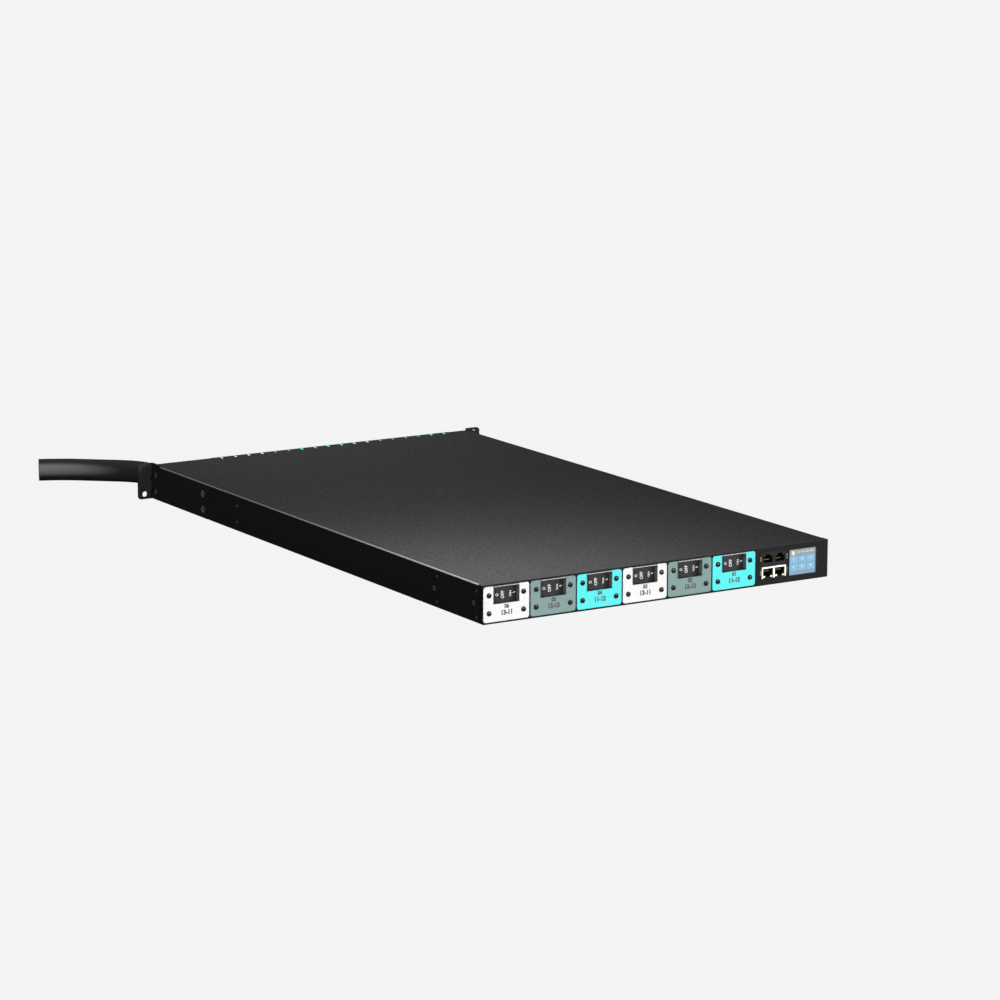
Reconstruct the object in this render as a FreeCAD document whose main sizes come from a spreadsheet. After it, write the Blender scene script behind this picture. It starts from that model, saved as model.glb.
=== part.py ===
import FreeCAD, Part
import math
import operator
import os
import Sketcher
from FreeCAD import Placement, Rotation, Vector

# Rack-mount three-phase power distribution unit, one rack unit high.
# X runs along the front from left to right, Y runs from the breaker front to the outlet rear,
# Z is up. The origin is the middle of the underside. All lengths are millimetres.

doc = FreeCAD.newDocument("rack_power_unit")
sheet = doc.addObject("Spreadsheet::Sheet", "Sizes")
aliases = []
nodes = []
SIGNS = {"+": operator.add, "-": operator.sub, "*": operator.mul, "/": operator.truediv}


class Size:
    """A length that carries its number and the sheet formula that gives it."""

    def __init__(self, value, text):
        self.value = float(value)
        self.text = text

    def __add__(self, other):
        return combine(self, "+", other)

    def __radd__(self, other):
        return combine(other, "+", self)

    def __sub__(self, other):
        return combine(self, "-", other)

    def __rsub__(self, other):
        return combine(other, "-", self)

    def __mul__(self, other):
        return combine(self, "*", other)

    def __rmul__(self, other):
        return combine(other, "*", self)

    def __truediv__(self, other):
        return combine(self, "/", other)

    def __neg__(self):
        return combine(0, "-", self)


def as_size(number):
    """Plain numbers join a formula as themselves."""
    return number if isinstance(number, Size) else Size(number, f"({number})")


def combine(left, sign, right):
    """Join two lengths by a sign, in number and in formula."""
    left = as_size(left)
    right = as_size(right)
    return Size(SIGNS[sign](left.value, right.value), f"({left.text} {sign} {right.text})")


def size(alias, value, note):
    """Put one driving dimension in the sheet and hand back its length."""
    aliases.append(alias)
    row = len(aliases)
    sheet.set(f"A{row}", alias)
    sheet.set(f"B{row}", str(value))
    sheet.set(f"C{row}", note)
    sheet.setAlias(f"B{row}", alias)
    return Size(value, f"Sizes.{alias}")


# Chassis
chassis_width = size("chassis_width", 444.5, "body width between the rack rails")
chassis_height = size("chassis_height", 42.3, "body height, one rack unit less running room")
chassis_depth = size("chassis_depth", 766, "breaker front to outlet rear")
sheet_thickness = size("sheet_thickness", 1.5, "steel sheet of the folded pieces")
bend_radius = size("bend_radius", 2, "outer radius of the folds")
seam_gap = size("seam_gap", 0.1, "room between folded pieces that lie on each other")
frame_depth = size("frame_depth", 9, "depth of the front frame")
frame_corner = size("frame_corner", 0.9, "front frame corner radius")
cover_skirt = size("cover_skirt", 0.4, "lower edge of the cover above the underside")

side = chassis_width / 2
front = -chassis_depth / 2
rear = chassis_depth / 2
middle = chassis_height / 2
ceiling = chassis_height - sheet_thickness
tray_side = side - sheet_thickness - seam_gap
tray_inner = tray_side - sheet_thickness
tray_top = ceiling - (bend_radius - sheet_thickness) - seam_gap
panel_top = ceiling - seam_gap
panel_back = front + sheet_thickness
tray_front = front + frame_depth + seam_gap

# Breaker front: six places in a row, each with a label plate, a breaker and a rocker
PLACES = 6
plate_first = size("plate_first", 28.4, "left side to the middle of the first label plate")
plate_pitch = size("plate_pitch", 57.96, "one label plate to the next")
plate_width = size("plate_width", 56.1, "label plate width")
plate_height = size("plate_height", 38.1, "label plate height, two breaker poles")
plate_corner = size("plate_corner", 3, "label plate corner radius")
plate_thickness = size("plate_thickness", 0.6, "label plate thickness")
screw_span_x = size("screw_span_x", 42.4, "plate screws, left to right")
screw_span_z = size("screw_span_z", 19.05, "plate screws, low to high")
screw_shank = size("screw_shank", 1.75, "plate screw shank radius")
screw_hole_gap = size("screw_hole_gap", 0.15, "room round a plate screw in its holes")
screw_head = size("screw_head", 2.9, "plate screw head radius")
screw_head_rise = size("screw_head_rise", 1.7, "plate screw head height")
screw_reach = size("screw_reach", 8, "plate screw length behind the front panel")
screw_socket = size("screw_socket", 1.15, "plate screw hexagon socket, middle to flat")
screw_socket_depth = size("screw_socket_depth", 1, "plate screw hexagon socket depth")
breaker_length = size("breaker_length", 48, "breaker housing, left to right")
breaker_depth = size("breaker_depth", 46, "breaker housing behind the front panel")
breaker_room = size("breaker_room", 0.1, "breaker housing inside its plate height")
guard_length = size("guard_length", 31.7, "rocker guard, left to right")
guard_height = size("guard_height", 19.05, "rocker guard height, one breaker pole")
guard_drop = size("guard_drop", 0.25, "underside of the rocker guard below mid height")
guard_wall = size("guard_wall", 1.1, "rocker guard wall")
guard_edge = size("guard_edge", 0.7, "rounding of the rocker guard front edges")
guard_rise = size("guard_rise", 1.6, "rocker guard in front of the front panel")
guard_depth = size("guard_depth", 12, "rocker well behind the front panel")
window_gap = size("window_gap", 0.2, "room round the rocker guard in its window")
notch_gap = size("notch_gap", 0.15, "room round the rocker guard in the label plate")
rocker_end_gap = size("rocker_end_gap", 1.3, "room past each end of the rocker")
rocker_side_gap = size("rocker_side_gap", 0.3, "room above and below the rocker")
rocker_ridge = size("rocker_ridge", 7.5, "pivot to the ridge of the rocker")
rocker_shoulder = size("rocker_shoulder", 3.1, "pivot to the front of the rocker ends")
rocker_heel = size("rocker_heel", 5, "pivot to the back of the rocker")
rocker_taper = size("rocker_taper", 2.6, "rocker back narrower than its front, each end")
rocker_edge = size("rocker_edge", 0.6, "rounding of the rocker ends")
rocker_tilt = size("rocker_tilt", 6, "degrees from level to on or off")
pivot_depth = size("pivot_depth", 5, "rocker pivot behind the front face")
pivot_pin = size("pivot_pin", 1.5, "rocker pin radius")
pivot_gap = size("pivot_gap", 0.05, "running room round the rocker pin")
pivot_reach = size("pivot_reach", 0.8, "rocker pin inside the guard wall")
stud_radius = size("stud_radius", 2.5, "breaker terminal stud radius")
stud_length = size("stud_length", 9, "breaker terminal stud length")
stud_span = size("stud_span", 32, "line stud to load stud")
pole_groove = size("pole_groove", 0.8, "groove between the two breaker poles")

first_place = plate_first - side
pole_height = plate_height / 2
breaker_back = panel_back + breaker_depth
stud_end = breaker_back + stud_length
breaker_low = middle - pole_height + breaker_room
breaker_high = middle + pole_height - breaker_room
guard_low = middle - guard_drop
guard_high = guard_low + guard_height
well_low = guard_low + guard_wall
well_high = guard_high - guard_wall
rocker_low = well_low + rocker_side_gap
rocker_high = well_high - rocker_side_gap
rocker_half = guard_length / 2 - guard_wall - rocker_end_gap
pivot_y = front + pivot_depth

# Controller end of the front: two rows of data jacks and a colour display
jack_from_side = size("jack_from_side", 72.55, "right side to the middle of the jacks")
jack_block_width = size("jack_block_width", 32.1, "two jacks side by side")
jack_pitch = size("jack_pitch", 15.9, "one jack to the next")
jack_width = size("jack_width", 11.9, "jack mouth width")
jack_mouth = size("jack_mouth", 6.8, "jack mouth height without its latch slot")
jack_slot_width = size("jack_slot_width", 6, "jack latch slot width")
jack_slot_height = size("jack_slot_height", 2.4, "jack latch slot height")
jack_depth = size("jack_depth", 13, "jack mouth depth")
jack_block_depth = size("jack_block_depth", 18, "jack block depth")
network_low = size("network_low", 7.6, "underside of the shielded jacks")
network_height = size("network_height", 12.5, "height of the shielded jacks")
sensor_low = size("sensor_low", 20.3, "underside of the upper jacks")
sensor_height = size("sensor_height", 16, "height of the upper jacks")
sensor_mouth_low = size("sensor_mouth_low", 25, "underside of the upper jack mouths")
jack_rim = size("jack_rim", 0.15, "room round each jack block in the front panel")
shield_sheet = size("shield_sheet", 0.3, "sheet of the jack shields")
shield_window = size("shield_window", 12.7, "window of a jack shield, left to right")
light_width = size("light_width", 2.6, "jack light width")
light_height = size("light_height", 1.8, "jack light height")
contact_pitch = size("contact_pitch", 1.02, "jack contact spacing")
contact_width = size("contact_width", 0.45, "jack contact width")
display_from_side = size("display_from_side", 33.8, "right side to the middle of the display")
display_middle = size("display_middle", 21, "middle of the display above the underside")
lens_width = size("lens_width", 35.6, "display lens width")
lens_height = size("lens_height", 28.8, "display lens height")
lens_thickness = size("lens_thickness", 1.2, "display lens thickness")
lens_inset = size("lens_inset", 0.2, "display lens behind the front face")
lens_gap = size("lens_gap", 0.15, "room round the display lens")
display_margin = size("display_margin", 2.4, "display panel past its lens on each side")
display_thickness = size("display_thickness", 3.6, "display panel thickness")
board_thickness = size("board_thickness", 1.6, "circuit board thickness")
board_front = size("board_front", 6, "controller board behind the front face")
board_depth = size("board_depth", 96, "controller board, front to back")
board_width = size("board_width", 84, "controller board, left to right")
board_from_side = size("board_from_side", 50, "right side to the middle of the controller board")

jack_middle = side - jack_from_side
display_x = side - display_from_side
board_top = network_low - seam_gap
board_low = board_top - board_thickness

# Outlet end: nine outlets in a row
OUTLETS = 9
outlet_first = size("outlet_first", -122.9, "middle of the first outlet")
outlet_pitch = size("outlet_pitch", 37.1, "one outlet to the next")
outlet_gap = size("outlet_gap", 0.1, "room on each side of an outlet")
outlet_body_low = size("outlet_body_low", 4.3, "underside of the outlet housings")
outlet_body_high = size("outlet_body_high", 38, "top of the outlet housings")
outlet_depth = size("outlet_depth", 32, "outlet housing inside the rear panel")
flange_rise = size("flange_rise", 2, "outlet flange behind the rear panel")
flange_low = size("flange_low", 2.4, "underside of the outlet flanges")
flange_high = size("flange_high", 39.9, "top of the outlet flanges")
groove_wall = size("groove_wall", 1.95, "outlet wall on each side of the groove")
groove_height = size("groove_height", 24.2, "outlet groove, outer height")
groove_gap = size("groove_gap", 2.9, "outlet groove, width of the gap")
groove_depth = size("groove_depth", 17, "outlet groove depth")
groove_corner = size("groove_corner", 3, "outlet groove corner radius")
slot_width = size("slot_width", 8.6, "contact slot width")
slot_height = size("slot_height", 2.6, "contact slot height")
slot_span = size("slot_span", 13, "line slot to neutral slot")
earth_rise = size("earth_rise", 8, "earth slot above the line slot")
slot_drop = size("slot_drop", 2.8, "line slot below the middle of the outlet")
contact_gap = size("contact_gap", 0.4, "room round a contact in its slot")
contact_inset = size("contact_inset", 4, "contacts behind the outlet face")
contact_tail = size("contact_tail", 7, "contact blades inside the chassis")
tab_span = size("tab_span", 18.6, "one latch tab of an outlet to the other")
tab_width = size("tab_width", 2, "latch tab width")
tab_length = size("tab_length", 5, "latch tab, front to back")
tab_from_rear = size("tab_from_rear", 3.5, "latch tab ahead of the rear")
tab_rise = size("tab_rise", 0.8, "latch tab above the cover")
tab_gap = size("tab_gap", 0.3, "room round a latch tab in its slot")
bezel_wall = size("bezel_wall", 2.3, "outlet bezel wall at its ends")
bezel_low = size("bezel_low", 0.8, "underside of the outlet bezel")
bezel_high = size("bezel_high", 42.1, "top of the outlet bezel")
bezel_rise = size("bezel_rise", 2.6, "outlet bezel behind the rear panel")
bezel_corner = size("bezel_corner", 1.2, "outlet bezel corner radius")

outlet_half = outlet_pitch / 2 - outlet_gap
groove_half = outlet_pitch / 2 - groove_wall
blade_end = rear - outlet_depth - contact_tail
line_level = middle - slot_drop
row_left = outlet_first - outlet_pitch / 2
row_right = row_left + OUTLETS * outlet_pitch
CONTACTS = ((-slot_span / 2, line_level), (slot_span / 2, line_level),
            (as_size(0), line_level + earth_rise))

# Rack ears
ear_width = size("ear_width", 19.05, "ear past the chassis side, for a 19 inch rack")
ear_low = size("ear_low", 0.4, "underside of the ears")
ear_high = size("ear_high", 44.1, "top of the ears")
ear_thickness = size("ear_thickness", 1.9, "ear sheet")
ear_setback = size("ear_setback", 2.3, "front face of the ears behind the rear panel")
ear_corner = size("ear_corner", 4, "ear corner radius")
ear_hole = size("ear_hole", 3.4, "rack screw hole radius")
ear_hole_out = size("ear_hole_out", 10.3, "rack holes past the chassis side, 465.1 apart")
ear_hole_span_z = size("ear_hole_span_z", 31.75, "rack holes, low to high")
ear_hole_low = size("ear_hole_low", 6.35, "lower rack hole above the underside")
leg_length = size("leg_length", 143, "ear leg along the chassis side")
leg_high = size("leg_high", 39.5, "top of the ear leg")
leg_shoulder = size("leg_shoulder", 19, "full-height end of the ear leg")
leg_gap = size("leg_gap", 0.3, "room above the ear leg in the cover")
leg_end_gap = size("leg_end_gap", 2, "room ahead of the ear leg in the cover")
leg_screw_first = size("leg_screw_first", 6.5, "rear pair of leg screws ahead of the rear")
leg_screw_last = size("leg_screw_last", 9, "front pair of leg screws from the end of the leg")
leg_screw_span = size("leg_screw_span", 18.8, "leg screws, low to high")
side_row = size("side_row", 20.4, "middle of the side fasteners above the underside")
leg_screw_head = size("leg_screw_head", 4.25, "leg screw head radius")
leg_screw_rise = size("leg_screw_rise", 2.2, "leg screw head height")
leg_screw_shank = size("leg_screw_shank", 2, "leg screw shank radius")
leg_screw_gap = size("leg_screw_gap", 0.15, "room round a leg screw")
leg_screw_reach = size("leg_screw_reach", 8, "leg screw length under its head")
leg_screw_socket = size("leg_screw_socket", 1.5, "leg screw hexagon socket, middle to flat")
leg_socket_depth = size("leg_socket_depth", 1.4, "leg screw hexagon socket depth")

leg_inner = side - sheet_thickness
leg_outer = leg_inner + ear_thickness
ear_front = rear + ear_setback
ear_rear = ear_front + ear_thickness
ear_tip = side + ear_width
leg_screw_pitch = leg_length - leg_screw_first - leg_screw_last

# Side fasteners
station_first = size("station_first", 12, "first side rivets behind the front")
station_pitch = size("station_pitch", 80.8, "one rivet station to the next")
station_span = size("station_span", 27.6, "side rivets, low to high")
late_station = size("late_station", 217.9, "last side rivets ahead of the rear")
late_span = size("late_span", 19.2, "last side rivets, low to high")
rivet_radius = size("rivet_radius", 1.65, "side rivet radius")
rivet_flare = size("rivet_flare", 2.3, "side rivet flare radius inside")
rivet_tail = size("rivet_tail", 0.9, "side rivet head inside")
rivet_gap = size("rivet_gap", 0.1, "room round a rivet or insert in its hole")
rivet_rise = size("rivet_rise", 0.15, "rivet head outside the cover")
insert_offset = size("insert_offset", 6.3, "threaded insert behind its rivets")
insert_radius = size("insert_radius", 2.5, "threaded insert radius")
insert_bore = size("insert_bore", 1.6, "threaded insert bore radius")
insert_length = size("insert_length", 4, "threaded insert length")

# Inside the chassis: metering behind the breakers, a supply, and the wiring
standoff_radius = size("standoff_radius", 3, "board standoff radius")
standoff_inset = size("standoff_inset", 6, "standoffs from the edges of their board")
meter_back = size("meter_back", 22, "metering board behind the breakers")
meter_depth = size("meter_depth", 34, "metering board, front to back")
meter_overhang = size("meter_overhang", 16, "metering board past the outer breakers' middle")
sensor_half = size("sensor_half", 8, "half width of a current sensor")
sensor_hole = size("sensor_hole", 4, "current sensor hole radius")
sensor_width = size("sensor_width", 9, "current sensor, front to back")
lead_radius = size("lead_radius", 2.4, "lead radius")
lead_pitch = size("lead_pitch", 6, "line leads side by side at the terminal block")
feed_radius = size("feed_radius", 3.2, "input lead radius")
feed_offset = size("feed_offset", 5, "input leads from the middle of the power cord")
block_width = size("block_width", 40, "terminal block, left to right")
block_depth = size("block_depth", 30, "terminal block, front to back")
block_height = size("block_height", 35, "terminal block height")
block_back = size("block_back", 52, "terminal block ahead of the rear")
block_offset = size("block_offset", 4, "terminal block nearer the middle than the power cord")
block_rib = size("block_rib", 2.4, "terminal block rib between two ways")
block_well = size("block_well", 12, "depth of the terminal block wells")
block_screw = size("block_screw", 2.6, "terminal screw radius")
supply_width = size("supply_width", 58, "controller supply, left to right")
supply_depth = size("supply_depth", 110, "controller supply, front to back")
supply_height = size("supply_height", 28, "controller supply height")
supply_from_side = size("supply_from_side", 42, "right side to the middle of the supply")
supply_back = size("supply_back", 120, "controller supply behind the front face")
supply_slot = size("supply_slot", 1.6, "supply vent slot width and depth")
supply_slot_pitch = size("supply_slot_pitch", 11, "one supply vent slot to the next")

# Power cord
cord_radius = size("cord_radius", 13.5, "power cord radius")
cord_x = size("cord_x", -197, "power cord middle")
cord_level = size("cord_level", 18.9, "power cord middle above the underside")
cord_length = size("cord_length", 188, "power cord outside its strain relief")
cord_rest = size("cord_rest", 0.2, "power cord end above the floor")
cord_turn = size("cord_turn", 67, "degrees that the power cord turns to the left")
gland_base = size("gland_base", 18.5, "strain relief flange radius")
gland_base_rise = size("gland_base_rise", 4, "strain relief flange thickness")
gland_neck = size("gland_neck", 17.4, "strain relief radius at its root")
gland_tip = size("gland_tip", 15.2, "strain relief radius at its tip")
gland_length = size("gland_length", 28, "strain relief outside the rear panel")
gland_thread = size("gland_thread", 15, "strain relief thread radius")
gland_thread_gap = size("gland_thread_gap", 0.15, "room round the strain relief thread")
gland_thread_length = size("gland_thread_length", 10, "strain relief thread inside the rear panel")
gland_rib = size("gland_rib", 0.9, "depth of the strain relief grooves")
locknut_flats = size("locknut_flats", 34, "locknut across flats")
locknut_thickness = size("locknut_thickness", 5, "locknut thickness")

meter_left = first_place - meter_overhang
meter_right = first_place + plate_pitch * (PLACES - 1) + meter_overhang * 1.8
meter_front = breaker_back + meter_back
sensor_front = meter_front + meter_depth / 2 - sensor_width / 2
sensor_level = board_top + sensor_half
block_x = cord_x + block_offset

doc.recompute()


# Helpers for sketches and features
def named(body, role):
    """The origin plane or axis of a body."""
    return [item for item in body.Origin.OriginFeatures if item.Role == role][0]


def new_body(label, x=0, y=0, z=0):
    """A body whose own origin sits at x, y, z."""
    body = doc.addObject("PartDesign::Body", label)
    body.Label = label
    for axis, place in zip("xyz", (x, y, z)):
        body.setExpression(f"Placement.Base.{axis}", as_size(place).text)
    nodes.append(body)
    return body


def new_sketch(body, plane, level):
    """A sketch on an origin plane, moved along that plane's axis to a level."""
    sketch = body.newObject("Sketcher::SketchObject", f"{body.Name}_outline")
    sketch.AttachmentSupport = [(named(body, plane), "")]
    sketch.MapMode = "FlatFace"
    way = -1 if plane == "XZ_Plane" else 1
    sketch.setExpression("AttachmentOffset.Base.z", (way * as_size(level)).text)
    return sketch


def tie(sketch, kind, datum, *where):
    """One dimension in a sketch, bound to its formula."""
    datum = as_size(datum)
    index = sketch.addConstraint(Sketcher.Constraint(kind, *where, datum.value))
    sketch.setExpression(f"Constraints[{index}]", datum.text)


def tie_point(sketch, curve, end, x, y):
    """Both coordinates of a point, measured from the sketch origin."""
    tie(sketch, "DistanceX", x, -1, 1, curve, end)
    tie(sketch, "DistanceY", y, -1, 1, curve, end)


def polygon(*points):
    """A closed outline of straight lines."""

    def draw(sketch):
        corners = [Vector(as_size(x).value, as_size(y).value, 0) for x, y in points]
        following = corners[1:] + corners[:1]
        lines = [sketch.addGeometry(Part.LineSegment(a, b)) for a, b in zip(corners, following)]
        for line, after in zip(lines, lines[1:] + lines[:1]):
            sketch.addConstraint(Sketcher.Constraint("Coincident", line, 2, after, 1))
        for line, (x, y) in zip(lines, points):
            tie_point(sketch, line, 1, x, y)

    return draw


def rectangle(x_low, x_high, y_low, y_high):
    """A rectangle given by its limits."""
    return polygon((x_low, y_low), (x_high, y_low), (x_high, y_high), (x_low, y_high))


def circle(x, y, radius):
    """A round outline."""

    def draw(sketch):
        centre = Vector(as_size(x).value, as_size(y).value, 0)
        curve = sketch.addGeometry(Part.Circle(centre, Vector(0, 0, 1), as_size(radius).value))
        tie_point(sketch, curve, 3, x, y)
        tie(sketch, "Radius", radius, curve)

    return draw


def hexagon(x, y, flat):
    """A regular hexagon given by its middle and the distance to its flats."""
    corner = flat * 2 / math.sqrt(3)
    return polygon((x - corner, y), (x - corner / 2, y - flat), (x + corner / 2, y - flat),
                   (x + corner, y), (x + corner / 2, y + flat), (x - corner / 2, y + flat))


def add_slab(body, plane, low, high, *outlines):
    """Material between two levels along the plane's own axis."""
    pad = body.newObject("PartDesign::Pad", f"{body.Name}_pad")
    sketch = new_sketch(body, plane, low)
    for outline in outlines:
        outline(sketch)
    pad.Profile = sketch
    pad.setExpression("Length", (as_size(high) - low).text)
    pad.Reversed = plane == "XZ_Plane"
    body.Tip = pad
    doc.recompute()
    return pad


def cut_slab(body, plane, low, high, *outlines):
    """A pocket between two levels along the plane's own axis."""
    pocket = body.newObject("PartDesign::Pocket", f"{body.Name}_pocket")
    sketch = new_sketch(body, plane, low if plane == "XZ_Plane" else high)
    for outline in outlines:
        outline(sketch)
    before = body.Shape.Volume
    pocket.Profile = sketch
    pocket.setExpression("Length", (as_size(high) - low).text)
    body.Tip = pocket
    doc.recompute()
    if body.Shape.Volume >= before:
        raise RuntimeError(f"{pocket.Name} of {body.Label} cuts nothing")
    return pocket


def turn(body, plane, origin, axis, points):
    """A turned solid: points are in the sketch, and the axis goes through its origin."""
    sketch = new_sketch(body, plane, origin[2])
    sketch.setExpression("AttachmentOffset.Base.x", as_size(origin[0]).text)
    sketch.setExpression("AttachmentOffset.Base.y", as_size(origin[1]).text)
    polygon(*points)(sketch)
    turned = body.newObject("PartDesign::Revolution", f"{body.Name}_turned")
    turned.Profile = sketch
    turned.ReferenceAxis = (sketch, [axis])
    turned.Angle = 360
    body.Tip = turned
    doc.recompute()
    return turned


def repeat(body, features, *steps):
    """Copies in rows: each step is an axis, a spacing and a count, or a plane to mirror in."""
    features = features if isinstance(features, list) else [features]
    rows = []
    for role, spacing, count in steps:
        if count == "mirror":
            row = body.newObject("PartDesign::Mirrored", f"{body.Name}_mirror")
            row.MirrorPlane = (named(body, role), [""])
        else:
            row = body.newObject("PartDesign::LinearPattern", f"{body.Name}_row")
            row.Direction = (named(body, role), [""])
            row.setExpression("Length", (as_size(spacing) * (count - 1)).text)
            row.Occurrences = count
        rows.append(row)
    if len(rows) == 1:
        rows[0].Originals = features
        body.Tip = rows[0]
    else:
        whole = body.newObject("PartDesign::MultiTransform", f"{body.Name}_rows")
        whole.Originals = features
        whole.Transformations = rows
        body.Tip = whole
    doc.recompute()
    return body.Tip


def near(a, b):
    """Two places are the same place."""
    return abs(a - as_size(b).value) < 0.01


def round_edges(body, radius, axes, chosen):
    """Round the straight edges that run along one of the axes and whose middle is chosen."""
    tip = body.Tip
    picked = []
    for number, edge in enumerate(tip.Shape.Edges, 1):
        centre = (edge.valueAt(edge.FirstParameter) + edge.valueAt(edge.LastParameter)) / 2
        way = edge.tangentAt(edge.FirstParameter)
        along = any(abs(getattr(way, axis)) > 0.999 for axis in axes)
        if isinstance(edge.Curve, Part.Line) and along and chosen(centre):
            picked.append(f"Edge{number}")
    fillet = body.newObject("PartDesign::Fillet", f"{body.Name}_fillet")
    fillet.Base = (tip, picked)
    fillet.setExpression("Radius", as_size(radius).text)
    body.Tip = fillet
    doc.recompute()
    return fillet


# Folded sheet pieces of the chassis
def side_holes(body, gap):
    """Rivet and insert holes through both sides of a folded piece."""
    reach = side + rivet_rise + sheet_thickness
    first = front + station_first
    rivet = rivet_radius + gap
    low = side_row - station_span / 2
    holes = cut_slab(body, "YZ_Plane", -reach, reach, circle(first, low, rivet))
    repeat(body, holes, ("Y_Axis", station_pitch, 2), ("Z_Axis", station_span, 2))
    inserts = cut_slab(body, "YZ_Plane", -reach, reach,
                       circle(first + insert_offset, side_row, insert_radius + gap))
    repeat(body, inserts, ("Y_Axis", station_pitch, 2))
    late = cut_slab(body, "YZ_Plane", -reach, reach,
                    circle(rear - late_station, side_row - late_span / 2, rivet))
    repeat(body, late, ("Z_Axis", late_span, 2))


def base_tray():
    """Floor and two sides, folded from one sheet."""
    body = new_body("base_tray")
    add_slab(body, "XZ_Plane", tray_front, rear, polygon(
        (-tray_side, 0), (tray_side, 0), (tray_side, tray_top), (tray_inner, tray_top),
        (tray_inner, sheet_thickness), (-tray_inner, sheet_thickness),
        (-tray_inner, tray_top), (-tray_side, tray_top)))
    round_edges(body, bend_radius, "y", lambda p: near(abs(p.x), tray_side) and near(p.z, 0))
    round_edges(body, bend_radius - sheet_thickness, "y",
                lambda p: near(abs(p.x), tray_inner) and near(p.z, sheet_thickness))
    side_holes(body, rivet_gap)
    leg_holes(body, tray_side + seam_gap)


def leg_holes(body, reach):
    """The four screw holes of each ear leg."""
    holes = cut_slab(body, "YZ_Plane", -reach, reach,
                     circle(rear - leg_screw_first, side_row - leg_screw_span / 2,
                            leg_screw_shank + leg_screw_gap))
    repeat(body, holes, ("Z_Axis", leg_screw_span, 2))
    more = cut_slab(body, "YZ_Plane", -reach, reach,
                    circle(rear - leg_screw_first - leg_screw_pitch, side_row - leg_screw_span / 2,
                           leg_screw_shank + leg_screw_gap))
    repeat(body, more, ("Z_Axis", leg_screw_span, 2))


def top_cover():
    """Top and two skirts, folded from one sheet, cut back round the ears and the latch tabs."""
    body = new_body("top_cover")
    inner = side - sheet_thickness
    add_slab(body, "XZ_Plane", tray_front, rear, polygon(
        (-side, cover_skirt), (-inner, cover_skirt), (-inner, ceiling), (inner, ceiling),
        (inner, cover_skirt), (side, cover_skirt), (side, chassis_height), (-side, chassis_height)))
    round_edges(body, bend_radius, "y",
                lambda p: near(abs(p.x), side) and near(p.z, chassis_height))
    round_edges(body, bend_radius - sheet_thickness, "y",
                lambda p: near(abs(p.x), inner) and near(p.z, ceiling))
    side_holes(body, rivet_gap)
    leg_front = rear - leg_length - leg_end_gap
    for way in (-1, 1):
        low, high = sorted((way * (side + 1), way * inner), key=lambda place: place.value)
        cut_slab(body, "YZ_Plane", low, high,
                 rectangle(leg_front, rear + 1, cover_skirt - 1, leg_high + leg_gap))
        low, high = sorted((way * (side + 1), way * tray_side), key=lambda place: place.value)
        cut_slab(body, "YZ_Plane", low, high,
                 rectangle(rear - leg_shoulder - leg_gap, rear + 1, cover_skirt - 1, chassis_height + 1))
    slot = cut_slab(body, "XY_Plane", ceiling - 1, chassis_height + 1, rectangle(
        outlet_first - tab_span / 2 - tab_width / 2 - tab_gap,
        outlet_first - tab_span / 2 + tab_width / 2 + tab_gap,
        rear - tab_from_rear - tab_length - tab_gap, rear - tab_from_rear + tab_gap))
    repeat(body, slot, ("X_Axis", tab_span, 2), ("X_Axis", outlet_pitch, OUTLETS))


def front_frame():
    """Front panel with its four folded returns, and the windows for all that shows in it."""
    body = new_body("front_frame")
    add_slab(body, "XZ_Plane", front, front + frame_depth, rectangle(-side, side, 0, chassis_height))
    round_edges(body, frame_corner, "y", lambda p: True)
    inner = side - sheet_thickness
    cut_slab(body, "XZ_Plane", panel_back, front + frame_depth,
             rectangle(-inner, inner, sheet_thickness, ceiling))
    half = guard_length / 2 + window_gap
    window = cut_slab(body, "XZ_Plane", front, panel_back, rectangle(
        first_place - half, first_place + half, guard_low - window_gap, guard_high + window_gap))
    repeat(body, window, ("X_Axis", plate_pitch, PLACES))
    hole = cut_slab(body, "XZ_Plane", front, panel_back, circle(
        first_place - screw_span_x / 2, middle - screw_span_z / 2, screw_shank + screw_hole_gap))
    repeat(body, hole, ("X_Axis", screw_span_x, 2), ("Z_Axis", screw_span_z, 2),
           ("X_Axis", plate_pitch, PLACES))
    jack_half = jack_block_width / 2 + jack_rim
    for low, height in ((network_low, network_height), (sensor_low, sensor_height)):
        cut_slab(body, "XZ_Plane", front, panel_back, rectangle(
            jack_middle - jack_half, jack_middle + jack_half, low - jack_rim * 0.5,
            low + height + jack_rim * 0.5))
    lens_half = lens_width / 2 + lens_gap
    lens_rise = lens_height / 2 + lens_gap
    cut_slab(body, "XZ_Plane", front, panel_back, rectangle(
        display_x - lens_half, display_x + lens_half,
        display_middle - lens_rise, display_middle + lens_rise))


def rear_panel():
    """Upright panel between the tray sides, open for the row of outlets."""
    body = new_body("rear_panel")
    panel_side = tray_inner - seam_gap
    add_slab(body, "XZ_Plane", rear - sheet_thickness, rear, rectangle(
        -panel_side, panel_side, sheet_thickness, panel_top))
    round_edges(body, bend_radius, "y", lambda p: near(p.z, sheet_thickness))
    cut_slab(body, "XZ_Plane", rear - sheet_thickness, rear, rectangle(
        row_left - outlet_gap, row_right + outlet_gap,
        outlet_body_low - outlet_gap, outlet_body_high + outlet_gap))
    cut_slab(body, "XZ_Plane", rear - sheet_thickness, rear,
             circle(cord_x, cord_level, gland_thread + gland_thread_gap))


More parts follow.
